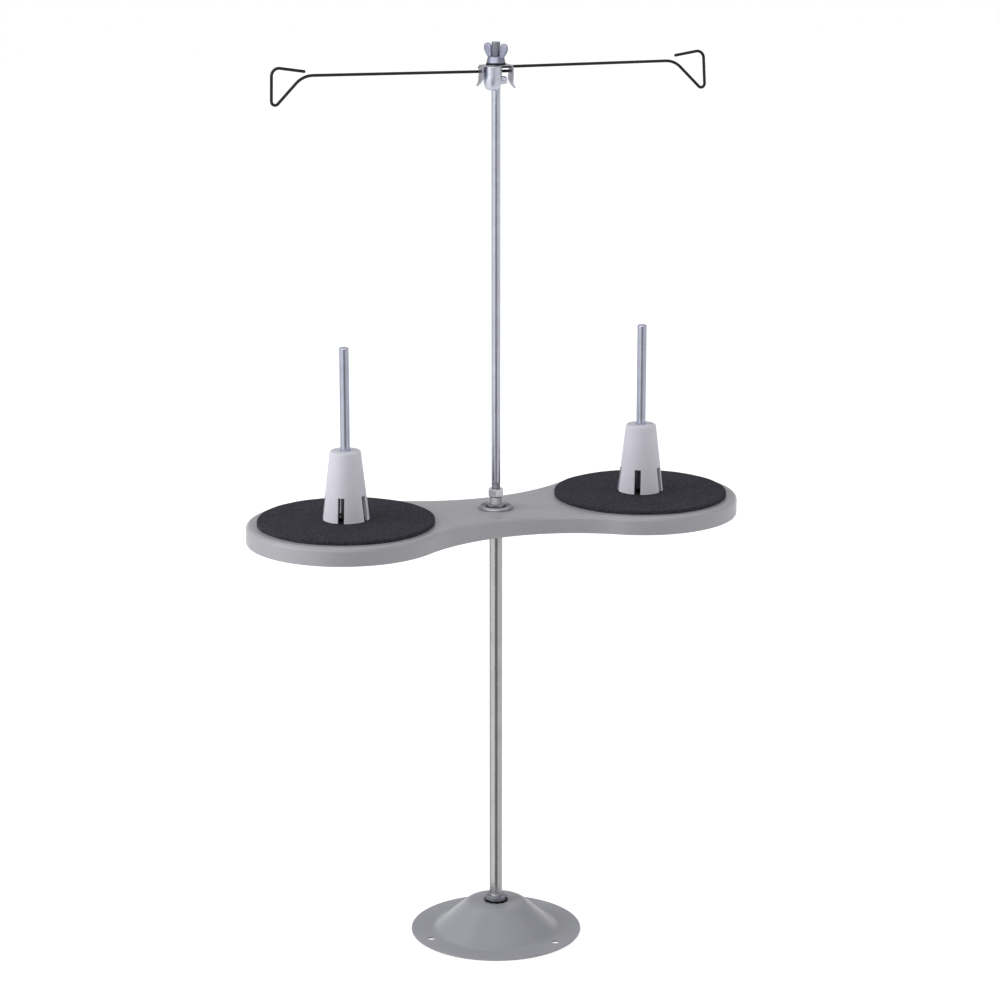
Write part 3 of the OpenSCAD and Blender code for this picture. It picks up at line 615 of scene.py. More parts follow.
def tray_skin():
    """The outline is two end circles of one radius joined by two hollow circles that touch them. Each
    column starts at a point of the middle line, which opens round the three holes, and runs out to a
    point of the outline. There the rows follow the pressed edge and the skirt, inset along the outline's
    normal, and come back under the sheet."""
    hollow = (tray_neck ** 2 + spool_x ** 2 - tray_end ** 2) / (2 * (tray_end - tray_neck))
    meet = math.atan2(tray_neck + hollow, -spool_x)
    spool = np.array([spool_x, 0.0])
    hollow_middle = np.array([0.0, tray_neck + hollow])
    end_out = outwards(0.0, meet, 61)
    neck_out = -outwards(meet - math.pi, -math.pi / 2, 41)[1:]
    out = np.concatenate([end_out, neck_out])
    line = np.concatenate([spool + tray_end * end_out, hollow_middle - hollow * neck_out])
    pin_round = spool + pin_hole * np.concatenate([end_out, outwards(meet, math.pi, 9)[1:]])
    axis_x = np.linspace(spool_x - pin_hole, tube_hole, 25)[1:]
    axis = np.stack([axis_x, np.zeros(len(axis_x))], axis=1)
    tube_round = tube_hole * outwards(0.0, math.pi / 2, 9)[1:]
    middle = np.concatenate([pin_round, axis, tube_round])
    at_hole = np.concatenate([np.ones(len(pin_round) - 1, bool), np.zeros(len(axis), bool),
                              np.ones(len(tube_round), bool)])
    flip = np.array([-1.0, 1.0])

    def all_round(quarter_line):
        """The first quarter and its three mirror images, in order round the tray."""
        half = np.concatenate([quarter_line, (quarter_line * flip)[-2::-1]])
        return np.concatenate([half, (half * -flip)[-2:0:-1]])

    line, out, middle = all_round(line), all_round(out), all_round(middle)
    hole_wall = np.concatenate([at_hole, at_hole[::-1], at_hole, at_hole[::-1]])
    edge = np.linspace(math.pi / 2, 0.0, 9)
    lip = np.linspace(0.0, -math.pi, 9)
    bend = tray_edge - tray_sheet
    half_sheet = tray_sheet / 2
    skirt_low = tray_low.z + half_sheet
    inset = np.concatenate([[tray_edge + tray_run], tray_edge * (1 - np.cos(edge)), [0.0],
                            half_sheet * (1 - np.cos(lip)), [tray_sheet],
                            (tray_edge - bend * np.cos(edge))[::-1], [tray_edge + tray_run]])
    height = np.concatenate([[tray_top], tray_top - tray_edge * (1 - np.sin(edge)), [skirt_low + tray_run],
                             skirt_low + half_sheet * np.sin(lip), [skirt_low + tray_run],
                             (tray_top - tray_edge + bend * np.sin(edge))[::-1], [tray_top - tray_sheet]])
    rim = line - inset[:, None, None] * out
    share = np.array([0.0, 0.04, 0.12, 0.3, 0.5, 0.75])[:, None, None]
    face = middle + (rim[0] - middle) * share
    flat = np.concatenate([face, rim, face[::-1]])
    height = np.concatenate([np.full(len(face), tray_top), height,
                             np.full(len(face), tray_top - tray_sheet)])
    height = np.broadcast_to(height[:, None, None], flat.shape[:2] + (1,))
    keep = np.ones(flat.shape[:2], dtype=bool)
    keep[-1] = hole_wall
    return skin(np.concatenate([flat, height], axis=2), loop=True, keep=keep)


tray_enamel = satin_enamel("tray_enamel", tray_grey)
dress(make_piece("tray_pressing", tray_skin()), "spool_tray", tray_enamel)

# Tray fastening: a pressed cup washer with a thin smoky nut in it on the tray, a washer and a nut below.
# The lower nut carries the tray, and the upper one is left just slack enough for the tray to swivel.
tray_nut_flats = 0.013
tray_nut_turn = math.radians(38.0)
cup_recess = 0.0095
cup_slope = 0.0004
cup_floor = 0.001
cup_edge = 0.0016
cup_grey = (0.42, 0.412, 0.46, 1.0)
cup_bright_edge = (0.66, 0.66, 0.70, 1.0)


def cup_washer(rim, low, high):
    """A pressed ring with a rounded rim round a sunk middle, turned about the tube."""
    corners = [(tube_hole, low), (rim, low), (rim, high), (cup_recess + cup_slope, high),
               (cup_recess, low + cup_floor), (tube_hole, low + cup_floor)]
    return turned(eased(corners, [0.0, 0.0002, cup_edge, 0.0003, 0.0003, 0.0], closed=True, steps=8))


fit_nuts("tray_top_nut", tray_nut_flats, tube_hole, smoky_zinc, tray_nut_turn)
fit_nuts("tray_bottom_nut", tray_nut_flats, tube_hole, zinc_plate, tray_nut_turn)
tray_ring_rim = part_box("tray_bottom_washer")[1].x
fit_rings("tray_bottom_washer_ring", "tray_bottom_washer", tube_hole, tray_ring_rim, zinc_plate)
cup_steel = plated_steel("cup_steel", cup_grey, 0.26, 0.38, cup_bright_edge)
cup_low, cup_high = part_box("tray_top_washer")
dress(make_piece("tray_cup_washer", cup_washer(cup_high.x, cup_low.z, cup_high.z)),
      "tray_top_washer", cup_steel)

# Upper rod: bright drawn steel rod with a coarse thread on each end, plated in bluish zinc.
# It is screwed into the tube and locked there by a nut; the clamp sits on its upper end.
rod_low, rod_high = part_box("upper_rod")
rod_rim = rod_high.x
rod_pitch = 0.001
rod_threads = ((0.3140, 0.3268), (0.6105, 0.6259))
rod_grey = (0.645, 0.662, 0.765, 1.0)
thread_gap = 0.00005
lock_nut_flats = 0.010
lock_nut_turn = math.radians(8.0)
pale_grey = (0.88, 0.88, 0.92, 1.0)
pale_edge = (0.95, 0.95, 0.97, 1.0)


def rod_skin():
    """The threaded outside of the rod, closed at each end by a flat face that runs in to its axis."""
    outside, height, turn = threaded(rod_rim, rod_low.z, rod_high.z, rod_threads, rod_pitch, 48)
    cap = np.array([[0.0], [0.5], [0.9]])
    radius = np.concatenate([cap * outside[0], outside, cap[::-1] * outside[-1]])
    heights = np.concatenate([np.full(len(cap), height[0]), height, np.full(len(cap), height[-1])])
    return skin(spun(radius, heights[:, None], turn))


# Painted shade: the rod's colour is darkened along both threads, by the lock nut and under the clamp.
bright_zinc = drawn_bar("bright_zinc", rod_grey, 0.22, 0.32, rod_threads)
dress(make_piece("plated_rod", rod_skin()), "upper_rod", bright_zinc)
pale_zinc = plated_steel("pale_zinc", pale_grey, 0.30, 0.42, pale_edge)
fit_nuts("rod_lock_nut", lock_nut_flats, rod_rim + thread_gap, pale_zinc, lock_nut_turn)

# Spool pins: plated steel pins with a threaded foot. A nut on the tray and a washer and nut below it hold
# each pin upright; the upper nuts are hidden inside the cones, where the pins' colour is darkened and the
# upper nuts are near black, both as painted shade.
pin_thread_end = 0.3125
pin_foot_rim = 0.003
pin_nut_turn = 0.2
pin_washer_rim = 0.007
pin_ease = 0.0009
pin_shade_end = 0.334
pin_grey = (0.575, 0.595, 0.71, 1.0)


def spool_pin(x, low, high, radius):
    """A plain pin with a domed top on a thinner foot, turned from one profile, closed on its axis."""
    corners = [(0.0, low), (pin_foot_rim, low), (pin_foot_rim, pin_thread_end), (radius, pin_thread_end),
               (radius, high), (0.0, high)]
    profile = eased(corners, [0.0, 0.0004, 0.0, 0.0003, pin_ease, 0.0], steps=6)
    turn = np.linspace(0.0, 2 * math.pi, 49)[:-1]
    return skin(spun(profile[:, :1], profile[:, 1:], turn, x))


# Painted shade: the pins' colour is darkened from their foot up to the top of this band, inside the cones.
pin_zinc = drawn_bar("pin_zinc", pin_grey, 0.26, 0.36, ((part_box("left_spool_pin")[0].z, pin_shade_end),))
for side in ("left", "right"):
    node = side + "_spool_pin"
    pin_low, pin_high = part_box(node)
    pin_x = (pin_low.x + pin_high.x) / 2
    pin_rim = (pin_high.x - pin_low.x) / 2
    dress(make_piece(side + "_pin", spool_pin(pin_x, pin_low.z, pin_high.z, pin_rim)), node, pin_zinc)
both_pins = (-spool_x, spool_x)
pin_nut_hole = pin_foot_rim + thread_gap
# Painted shade: the top nuts, inside the cones, take the near-black plating.
fit_nuts("pin_top_nuts", lock_nut_flats, pin_nut_hole, dark_zinc, pin_nut_turn, both_pins)
fit_nuts("pin_bottom_nuts", lock_nut_flats, pin_nut_hole, zinc_plate, pin_nut_turn, both_pins)
fit_rings("pin_washer_rings", "pin_washers", pin_nut_hole, pin_washer_rim, zinc_plate, both_pins)

# Pads: two discs of black open-cell foam, cut from sheet with a round hole for the pin's nut.
# They lie loose on the tray and keep the spools from slipping; the cone's foot presses in a little.
pad_hole = 0.0075
pad_edge = 0.0009
pad_waver = 0.00006
pad_wave = 0.00011
pad_wave_count = 8
pad_wave_lengths = (0.012, 0.045)
cone_foot = 0.0149
dent_depth = 0.00012
dent_reach = 0.0025
foam_black = (0.0115, 0.0112, 0.0165, 1.0)
foam_worn = (0.017, 0.0167, 0.023, 1.0)
foam_grey = (0.068, 0.066, 0.084, 1.0)
pad_seed = 11


def pad_skin(x, low, high, rim, seed):
    """A ring with eased edges. Its top sinks by the mean of eight cosine waves with random directions,
    lengths and phases and by a shallow dent under the cone's foot. Its cut rim wavers by the sum of six
    more cosines of the angle."""
    draw = np.random.default_rng(seed)
    whole = 2 * math.pi
    turn = np.linspace(0.0, whole, 361)[:-1]
    section = eased([(pad_hole, low), (rim, low), (rim, high), (pad_hole, high)],
                    [0.0002, 0.0003, pad_edge, pad_edge * 0.6], closed=True, steps=6)
    across = np.linspace(rim - pad_edge * 1.3, pad_hole + pad_edge, 70)[1:-1]
    top = np.stack([across, np.full(len(across), high)], axis=1)
    corner = np.flatnonzero(section[:, 1] >= high - 1e-9)
    split = corner[np.argmax(section[corner, 0] < (rim + pad_hole) / 2)]
    section = np.concatenate([section[:split], top, section[split:]])
    radius, height = section[:, :1], section[:, 1:]
    tooth = np.arange(3, 9)
    phase = draw.uniform(0.0, whole, len(tooth))
    waver = np.cos(tooth * turn[:, None] + phase).sum(axis=1) * pad_waver
    radius = radius + waver * (radius / rim) ** 4
    heading = draw.uniform(0.0, whole, pad_wave_count)
    length = draw.uniform(*pad_wave_lengths, pad_wave_count)
    shift = draw.uniform(0.0, whole, pad_wave_count)
    flat_x, flat_y = radius * np.cos(turn), radius * np.sin(turn)
    way = flat_x[..., None] * np.cos(heading) + flat_y[..., None] * np.sin(heading)
    wave = (np.cos(whole * way / length + shift) - 1.0).mean(axis=-1) * pad_wave * 2
    dent = -dent_depth * np.exp(-((radius - cone_foot) / dent_reach) ** 2)
    lift = np.clip((height - low) / (high - low), 0.0, 1.0)
    return skin(spun(radius, height + (wave + dent) * lift, turn, x), loop=True)


foam, tree, shader = new_material("black_foam", Specular_IOR_Level=0.12)
spot = put(tree, "TexCoord").outputs["Object"]
cell = put(tree, "TexVoronoi", {"Vector": spot, "Scale": 800.0, "Randomness": 1.0}).outputs["Distance"]
pore = put(tree, "MapRange", {"Value": cell, "From Min": 0.15, "From Max": 0.62}).outputs[0]
grain = place_group(tree, mottle, Size=0.0011)["Value"]
speck = put(tree, "Math", {0: pore, 1: grain}, operation="MULTIPLY").outputs[0]
patchy = place_group(tree, mottle, Size=0.02)["Value"]
shade = tinted(tree, tinted(tree, foam_black, patchy, foam_worn), speck, foam_grey)
shine = place_group(tree, mottle, Size=0.004, Low=0.82, High=0.95)["Value"]
surface(tree, shader, shade, shine, speck, 0.7, 0.0003)
for side in ("left", "right"):
    node = side + "_pad"
    pad_low, pad_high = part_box(node)
    pad_x = (pad_low.x + pad_high.x) / 2
    foam_disc = pad_skin(pad_x, pad_low.z, pad_high.z, pad_high.y, pad_seed + len(side))
    pad = make_piece(side + "_foam_pad", foam_disc)
    dress(pad, node, foam)

# Cone holders: hollow cones moulded in light grey plastic, with five slots from the foot so that they
# spring into a spool's tube, and a sleeve inside that slides on the pin.
cone_low, cone_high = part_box("left_cone")
cone_height = cone_high.z - cone_low.z
cone_foot_rim = cone_high.y
cone_top_rim = 0.0104
cone_wall = 0.002
cone_cap = 0.003
cone_ease = 0.0015
sleeve_bore = 0.00328
sleeve_rim = 0.00488
sleeve_length = 0.024
sleeve_lead = 0.0003
slot_count = 5
slot_half = 0.0022
slot_height = 0.017
slot_turn = math.radians(94.0)
slot_least_rim = 0.0085
slot_top_rim = 0.0119
cone_grey = (0.60, 0.59, 0.665, 1.0)
cone_deep = (0.58, 0.575, 0.638, 1.0)
cone_edge = (0.69, 0.685, 0.745, 1.0)


def cone_skins(x, low):
    """The cone's section is turned about the pin. The columns crowd to the slots: at each row a slot's
    edges lie asin(half width / radius) either side of its middle, so that the slot has parallel sides.
    Quads between the edges are left out up to the slot's height, and walls join outer and inner edge."""
    taper = (cone_foot_rim - cone_top_rim) / cone_height
    foot_rows = np.linspace(0.0, slot_height, 8)
    body_rows = np.linspace(slot_height, cone_height - cone_ease * 1.3, 8)[1:]
    edge_rows = np.linspace(0.0, math.pi / 2, 8)
    edge_x = cone_top_rim + taper * cone_ease - cone_ease
    outer_z = np.concatenate([foot_rows, body_rows])
    outer_r = cone_foot_rim - taper * outer_z
    edge_r = edge_x + cone_ease * np.cos(edge_rows)
    edge_z = cone_height - cone_ease + cone_ease * np.sin(edge_rows)
    cap_z = cone_height - cone_cap
    sleeve_z = cone_height - sleeve_length
    tube_r = np.array([edge_x * 0.8, sleeve_bore + sleeve_lead, sleeve_bore, sleeve_bore,
                       sleeve_rim, sleeve_rim])
    tube_z = np.array([cone_height, cone_height, cone_height - sleeve_lead, sleeve_z, sleeve_z, cap_z])
    inner_z = np.concatenate([[cap_z], np.linspace(cap_z, slot_height, 7)[1:-1], foot_rows[::-1]])
    inner_r = cone_foot_rim - cone_wall - taper * inner_z
    radius = np.concatenate([outer_r, edge_r, tube_r, inner_r])
    height = np.concatenate([outer_z, edge_z, tube_z, inner_z])
    pitch = 2 * math.pi / slot_count
    half = np.arcsin(slot_half / np.maximum(radius, slot_least_rim))[:, None]
    half = np.where((height > slot_height)[:, None], math.asin(slot_half / slot_top_rim), half)
    slot_steps = 4
    in_slot = half * np.linspace(-1.0, 1.0, slot_steps + 1)
    between = half + (pitch - 2 * half) * np.linspace(0.0, 1.0, 24)[1:-1]
    sector = np.concatenate([in_slot, between], axis=1)
    columns = sector.shape[1]
    turn = np.arange(slot_count)[:, None] * pitch + sector[:, None, :]
    turn = turn.reshape(len(radius), -1) + slot_turn
    points = spun(radius[:, None], low + height[:, None], turn, x)
    slot_columns = np.tile(np.arange(columns) < slot_steps, slot_count)
    keep = np.ones(points.shape[:2], dtype=bool)
    foot = len(foot_rows)
    keep[:foot - 1] = ~slot_columns
    keep[-foot:] = ~slot_columns
    outside, inside = points[:foot], points[-foot:][::-1]
    made = [skin(points, loop=True, keep=keep)]
    for edge in (0, slot_steps):
        sides = np.stack([outside[:, edge::columns], inside[:, edge::columns]]).transpose(2, 0, 1, 3)
        made += [skin(side, ring=False) for side in sides]
    made.append(skin(np.stack([outside[-1], inside[-1]]), keep=slot_columns[None, :]))
    return made


cone_plastic, tree, shader = new_material("cone_plastic", Specular_IOR_Level=0.4)
cloudy = place_group(tree, mottle, Size=0.009)["Value"]
worn = place_group(tree, edge_wear, Width=0.0006, Amount=0.5)["Mask"]
shade = tinted(tree, tinted(tree, cone_grey, cloudy, cone_deep), worn, cone_edge)
shine = place_group(tree, mottle, Size=0.003, Low=0.42, High=0.55)["Value"]
sparked = place_group(tree, mottle, Size=0.0005)["Value"]
surface(tree, shader, shade, shine, sparked, 0.15, 0.00003)
for side, sign in (("left", -1), ("right", 1)):
    cone = make_piece(side + "_cone_holder", *cone_skins(sign * spool_x, cone_low.z))
    dress(cone, side + "_cone", cone_plastic)

# Clamp body: a small zinc die casting with a barrel beside the rod's bore and a boss for the set screw.
# It turns on the rod's upper end until the screw is tightened, and a channel in its back takes the wires.
body_low, body_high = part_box("clamp_body")
barrel_x = -0.0024
barrel_rim = 0.0062
barrel_foot = 0.0025
barrel_round = 0.008
barrel_ease = 0.0004
boss_rim = 0.0027
boss_spread = 0.0003
boss_blend = 0.0007
boss_reach = body_high.x
boss_z = body_low.z + 0.0063
body_bore = 0.00308
channel_reach = 0.012
channel_back = 0.00325
channel_low = 0.60475
screw_rim = 0.0015
screw_hole_rim = 0.00155
driver_depth = 0.001
driver_half = 0.0003
driver_reach = 0.003
cut_over = 0.001
cast_grey = (0.80, 0.825, 0.93, 1.0)
cast_edge = (0.90, 0.91, 0.97, 1.0)


def barrel_skin():
    """A barrel whose radius follows a quarter ellipse near the foot, with its columns crowded to the boss's
    side. Round the boss the radius goes over to that of the boss's flat end by a smooth step of the
    distance from the boss's axis."""
    quarter = np.linspace(0.0, math.pi / 2, 25)
    rounding = quarter[6::6]
    top = body_high.z - body_low.z
    shoulder = top - barrel_ease
    straight = np.linspace(barrel_round, shoulder, 25)[1:]
    height = body_low.z + np.concatenate([barrel_round * (1 - np.cos(quarter)), straight,
                                          shoulder + barrel_ease * np.sin(rounding)])
    radius = np.concatenate([barrel_foot + (barrel_rim - barrel_foot) * np.sin(quarter),
                             np.full(len(straight), barrel_rim),
                             barrel_rim - barrel_ease + barrel_ease * np.cos(rounding)])[:, None]
    even = np.linspace(-math.pi, math.pi, 161)[:-1]
    turn = even - 0.55 * np.sin(even)
    boss_turn = np.clip(turn, -1.2, 1.2)
    reach = boss_reach - barrel_x
    off_axis = np.hypot(reach * np.tan(boss_turn), (height - boss_z)[:, None])
    step = np.clip((boss_rim + boss_spread - off_axis) / boss_blend, 0.0, 1.0)
    step = step * step * (3 - 2 * step)
    boss_end = np.minimum(reach / np.cos(boss_turn), reach * 1.05)
    radius = radius + (np.maximum(boss_end, radius) - radius) * step
    cap = np.array([[0.0], [0.6]])
    full = np.concatenate([cap * radius[0], radius, cap[::-1] * radius[-1]])
    heights = np.concatenate([np.full(len(cap), height[0]), height, np.full(len(cap), height[-1])])
    return skin(spun(full, heights[:, None], turn, barrel_x))


def bar_along_x(radius, start, end, z):
    """A plain round bar along X, closed at both ends on its axis."""
    turn = np.linspace(0.0, 2 * math.pi, 41)[:-1]
    reach = np.array([start, start, end, end])[:, None]
    rim = np.array([0.0, radius, radius, 0.0])[:, None]
    reach, rim, turn = np.broadcast_arrays(reach, rim, turn)
    return skin(np.stack([reach, rim * np.cos(turn), z + rim * np.sin(turn)], axis=-1))


def block(low, high):
    """A box as a ring of four upright corners, closed above and below on its middle."""
    low, high = np.asarray(low), np.asarray(high)
    corner = np.array([[0.0, 0.0], [1.0, 0.0], [1.0, 1.0], [0.0, 1.0]])
    ring = low[:2] + (high - low)[:2] * corner
    middle = np.broadcast_to((low[:2] + high[:2]) / 2, (4, 2))
    flat = np.stack([middle, ring, ring, middle])
    height = np.array([low[2], low[2], high[2], high[2]])[:, None, None]
    return skin(np.concatenate([flat, np.broadcast_to(height, (4, 4, 1))], axis=2))


def combine(piece, operation, *others, sharp=35.0):
    """Cuts other closed pieces out of a piece, or joins them to it, and keeps only the result."""
    for other in others:
        step = piece.modifiers.new("step", "BOOLEAN")
        step.operation = operation
        step.solver = "EXACT"
        step.object = other
        worked = piece.evaluated_get(bpy.context.evaluated_depsgraph_get())
        solid = bpy.data.meshes.new_from_object(worked)
        piece.modifiers.clear()
        piece.data = solid
        bpy.data.objects.remove(other)
    piece.data.shade_smooth()
    piece.data.set_sharp_from_angle(angle=math.radians(sharp))


cast_zinc = plated_steel("cast_zinc", cast_grey, 0.34, 0.46, cast_edge)
casting = make_piece("clamp_casting", barrel_skin())
bore_low = body_low.z - cut_over
bore_high = body_high.z + cut_over
bore_line = [(0.0, bore_low), (body_bore, bore_low), (body_bore, bore_high), (0.0, bore_high)]
rod_bore = make_piece("rod_bore", turned(bore_line, columns=64))
screw_bore = make_piece("screw_bore", bar_along_x(screw_hole_rim, 0.0, boss_reach + 2 * cut_over, boss_z))
wire_channel = make_piece("wire_channel", block((-channel_reach, channel_back, channel_low),
                                                (channel_reach, channel_reach, body_high.z + 2 * cut_over)))
combine(casting, "DIFFERENCE", rod_bore, screw_bore, wire_channel)
dress(casting, "clamp_body", cast_zinc)
screw_low, screw_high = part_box("clamp_screw")
grub = make_piece("grub_screw", bar_along_x(screw_rim, screw_low.x, screw_high.x, boss_z))
slot_low = (screw_high.x - driver_depth, -driver_half, boss_z - driver_reach)
slot_high = (screw_high.x + cut_over, driver_half, boss_z + driver_reach)
combine(grub, "DIFFERENCE", make_piece("driver_slot", block(slot_low, slot_high)))
dress(grub, "clamp_screw", dark_zinc)

# Clamp strap: a strip of plated steel sheet bent into a channel over the casting, with pointed ears that
# curl outwards and notches in the back edge for the wires. A washer spreads the wing nut's load; its
# near-black colour is partly dark plating and partly painted shade under the wing nut.
strap_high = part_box("clamp_strap")[1]
strap_sheet = 0.0008
strap_half = 0.011
strap_edge = 0.0042
strap_eye = 0.006
strap_bend = 0.0012
strap_hole = 0.0033
right_ear_start = 0.0097
left_ear_start = 0.0074
ear_curl = 0.0074
ear_curl_turn = math.radians(55.0)
ear_tip = 0.0005
notch_top = 0.6101
notch_low = 0.6036
notch_back = 0.00325
notch_step = 1e-5
strap_grey = (0.55, 0.54, 0.61, 1.0)
strap_bright_edge = (0.66, 0.66, 0.69, 1.0)


def strap_skins():
    """The sheet's middle line, seen from the front, runs along the top, round the bend, down the ear and
    out along its curl. Each row runs from the edge of the rod's hole, or the middle, to the strip's edge,
    which swells to a circle round the hole, narrows to a point along the curl and steps in at the wire
    notch."""
    top = strap_high.z - strap_sheet / 2
    side = strap_half - strap_sheet / 2
    hole = strap_hole * np.sin(np.linspace(0.0, math.pi / 2, 13))
    eye = np.linspace(strap_hole, math.sqrt(strap_eye ** 2 - strap_edge ** 2), 8)[1:]
    flat_x = np.concatenate([hole, eye, [strap_eye]])
    bend = np.linspace(0.0, math.pi / 2, 13)
    curl = np.linspace(0.0, ear_curl_turn, 17)
    share = np.linspace(0.0, 1.0, 9)
    made = []
    for mirror, ear_start in ((1.0, right_ear_start), (-1.0, left_ear_start)):
        ear = strap_high.z - ear_start
        down = np.linspace(top - strap_bend, ear, 15)[1:-1]
        down = np.sort(np.concatenate([down, [notch_low, notch_low - notch_step]]))[::-1]
        line_x = np.concatenate([flat_x, side - strap_bend + strap_bend * np.sin(bend),
                                 np.full(len(down), side), side + ear_curl * (1 - np.cos(curl))])
        line_z = np.concatenate([np.full(len(flat_x), top), top - strap_bend + strap_bend * np.cos(bend),
                                 down, ear - ear_curl * np.sin(curl)])
        cut = np.sqrt(np.maximum(0.0, strap_hole ** 2 - line_x ** 2)) * (np.arange(len(line_x)) < len(hole))
        tip_z = ear - (ear_curl + strap_sheet / 2) * math.sin(ear_curl_turn)
        edge = strap_edge + (ear_tip - strap_edge) * np.clip((ear - line_z) / (ear - tip_z), 0.0, 1.0)
        edge = np.maximum(edge, np.sqrt(np.maximum(0.0, strap_eye ** 2 - line_x ** 2)))
        notched = (line_z < notch_top - notch_step / 10) & (line_z > notch_low - notch_step / 2)
        rear = np.where(notched, notch_back, edge)
        for back, limit in ((1.0, rear), (-1.0, edge)):
            y = back * (cut[:, None] + (limit - cut)[:, None] * share)
            x = np.broadcast_to(mirror * line_x[:, None], y.shape)
            z = np.broadcast_to(line_z[:, None], y.shape)
            made.append(skin(np.stack([x, y, z], axis=-1), ring=False))
    return made


strap_steel = plated_steel("strap_steel", strap_grey, 0.28, 0.42, strap_bright_edge)
strap = make_piece("bent_strap", *strap_skins(), sharp=50.0)
thickness = strap.modifiers.new("sheet", "SOLIDIFY")
thickness.thickness = strap_sheet
thickness.offset = 0.0
dress(strap, "clamp_strap", strap_steel)
# The wing washer's near-black plating is partly painted shade under the wing nut.
fit_rings("wing_ring", "wing_washer", strap_hole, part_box("wing_washer")[1].y, dark_zinc)

# Wing nut: a zinc casting with a tapered hub and two rounded wings, screwed on the rod's upper thread.
# Turning it lets the strap rise and frees the wires.
wing_low, wing_high = (corner.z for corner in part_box("wing_nut"))
wing_turn = math.radians(120.0)
hub_bore = rod_rim + 0.00008
hub_foot = 0.0065
hub_top = 0.0053
hub_height = 0.0046
wing_half = 0.0011
wing_tip = 0.003
wing_tip_x = 0.0068
wing_inner = 0.00325
wing_root = hub_top - 0.0002
wing_foot = 0.0006
wing_lean_from = 0.0022
wing_grey = (0.375, 0.385, 0.495, 1.0)
wing_edge = (0.60, 0.61, 0.70, 1.0)


def hub_skin():
    """The hub's section with eased corners, turned about the rod."""
    high = wing_low + hub_height
    corners = [(hub_bore, wing_low), (hub_foot, wing_low), (hub_top, high), (hub_bore, high)]
    return turned(eased(corners, [0.0, 0.0005, 0.0009, 0.0003], closed=True))


def wing_skin(direction):
    """One wing as a stack of level sections: each is a flattened oval of power 4 between the wing's inner
    and outer edge. The edges lean outwards and close along a half circle at the tip."""
    tip_z = wing_high - wing_low - wing_tip
    lean = np.linspace(0.0, 1.0, 17)
    cap = np.linspace(0.0, math.pi / 2, 13)[1:]
    height = np.concatenate([wing_foot + (tip_z - wing_foot) * lean, tip_z + wing_tip * np.sin(cap)])
    rise = np.clip((height - wing_lean_from) / (tip_z - wing_lean_from), 0.0, 1.0)
    inner = wing_inner + (wing_tip_x - wing_tip - wing_inner) * rise
    outer = wing_root + (wing_tip_x + wing_tip - wing_root) * np.sin(rise * math.pi / 2) ** 1.1
    middle = (inner + outer) / 2
    wide = (outer - inner) / 2
    thick = wing_half * (1.15 - 0.2 * rise)
    in_cap = slice(len(lean), None)
    middle[in_cap] = wing_tip_x
    wide[in_cap] = wing_tip * np.cos(cap)
    thick[in_cap] = wing_half * 0.95 * np.sqrt(np.cos(cap))
    turn = np.linspace(0.0, 2 * math.pi, 49)[:-1]
    oval_x = np.sign(np.cos(turn)) * np.sqrt(np.abs(np.cos(turn)))
    oval_y = np.sign(np.sin(turn)) * np.sqrt(np.abs(np.sin(turn)))
    out = np.concatenate([np.full((1, len(turn)), middle[0]), middle[:, None] + wide[:, None] * oval_x])
    aside = np.concatenate([np.zeros((1, len(turn))), thick[:, None] * oval_y])
    height = wing_low + np.concatenate([height[:1], height])[:, None]
    x = out * math.cos(direction) - aside * math.sin(direction)
    y = out * math.sin(direction) + aside * math.cos(direction)
    return skin(np.stack([x, y, np.broadcast_to(height, x.shape)], axis=-1))


wing_zinc = plated_steel("wing_zinc", wing_grey, 0.28, 0.40, wing_edge)
wing_nut = make_piece("wing_nut_casting", hub_skin())
wings = [make_piece("wing_" + str(number), wing_skin(wing_turn + number * math.pi)) for number in (0, 1)]
combine(wing_nut, "UNION", *wings, sharp=40.0)
dress(wing_nut, "wing_nut", wing_zinc)

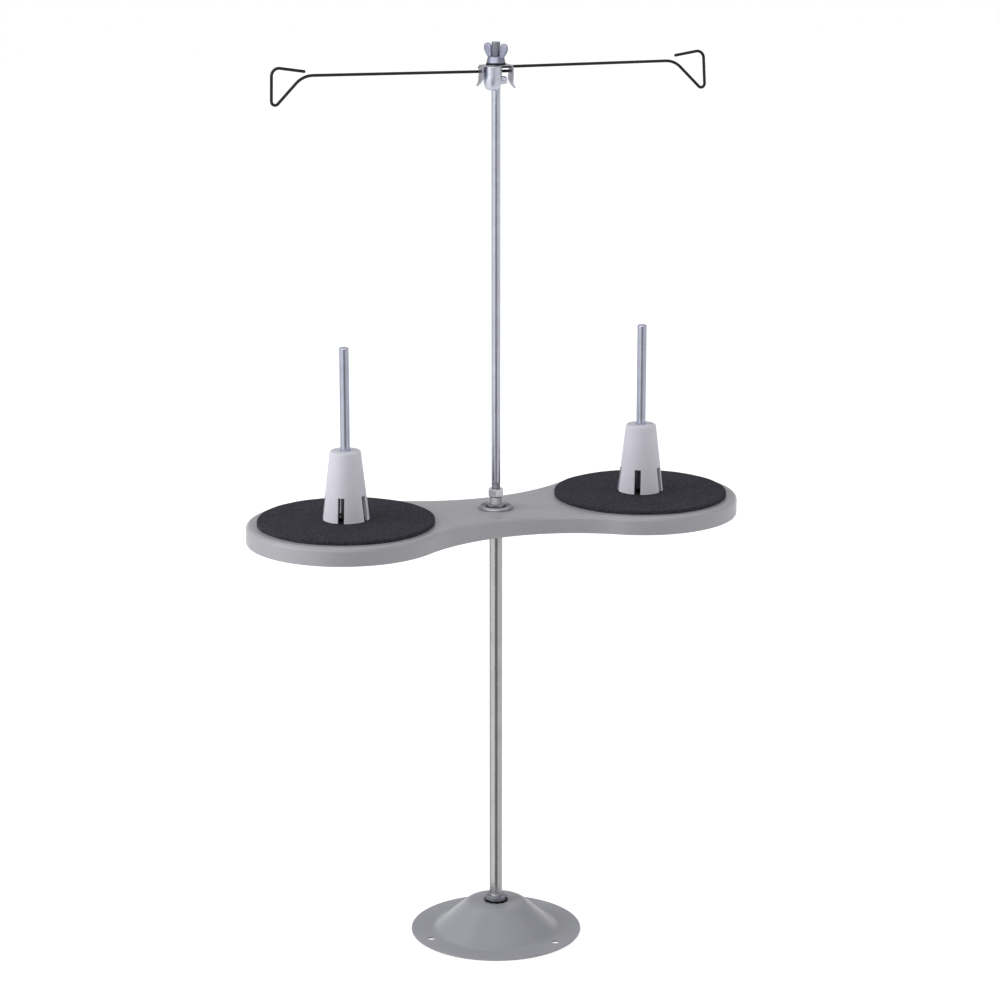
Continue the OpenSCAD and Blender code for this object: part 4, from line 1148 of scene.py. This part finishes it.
# Guide wires: two lengths of blackened spring wire, bent in one plane with an open eye for the thread.
# They lie one above the other in the channel behind the rod, pinched under the strap.
wire_rim = 0.001
wire_nose = 0.0006
wire_bends = (0.0, 0.016, 0.0025, 0.005, 0.0)
wire_back = 0.0044
wire_routes = {
    "left_guide_wire": ((0.011, 0.6059), (-0.1325, 0.608405), (-0.1543, 0.586305), (-0.1537, 0.614605),
                        (-0.1308, 0.610905)),
    "right_guide_wire": ((-0.011, 0.60895), (0.132, 0.608201), (0.1554, 0.585501), (0.1537, 0.614701),
                         (0.132, 0.611601)),
}
wire_black = (0.010, 0.010, 0.011, 1.0)
wire_worn = (0.018, 0.018, 0.020, 1.0)


def wire_skin(route):
    """A round section carried along the eased route, which lies in an upright plane. At each end the
    radius falls to nothing along a quarter ellipse a third as long as the wire is thick."""
    line = eased(route, wire_bends, steps=12)
    aside = left_of(line)
    fall = np.linspace(math.pi / 2, 0.0, 7)
    inwards = wire_nose * (1 - np.sin(fall))[:, None]
    first_run, last_run = line[1] - line[0], line[-2] - line[-1]
    near = line[0] + first_run / np.linalg.norm(first_run) * inwards
    far = line[-1] + last_run / np.linalg.norm(last_run) * inwards
    nose = wire_rim * np.cos(fall)
    radius = np.concatenate([nose, np.full(len(line) - 2, wire_rim), nose[::-1]])[:, None]
    line = np.concatenate([near, line[1:-1], far[::-1]])
    aside = np.concatenate([np.repeat(aside[:1], len(nose), axis=0), aside[1:-1],
                            np.repeat(aside[-1:], len(nose), axis=0)])
    turn = np.linspace(0.0, 2 * math.pi, 25)[:-1]
    out = radius * np.cos(turn)
    x = line[:, :1] + aside[:, :1] * out
    y = wire_back + radius * np.sin(turn)
    z = line[:, 1:] + aside[:, 1:] * out
    return skin(np.stack([x, y, z], axis=-1))


black_wire, tree, shader = new_material("black_wire", Metallic=0.35, Specular_IOR_Level=0.4)
cloudy = place_group(tree, mottle, Size=0.006)["Value"]
shade = tinted(tree, wire_black, cloudy, wire_worn)
shine = place_group(tree, mottle, Size=0.002, Low=0.34, High=0.5)["Value"]
oxide = place_group(tree, mottle, Size=0.0004)["Value"]
surface(tree, shader, shade, shine, oxide, 0.15, 0.00002)
for node, route in wire_routes.items():
    dress(make_piece(node + "_bent", wire_skin(np.array(route))), node, black_wire)
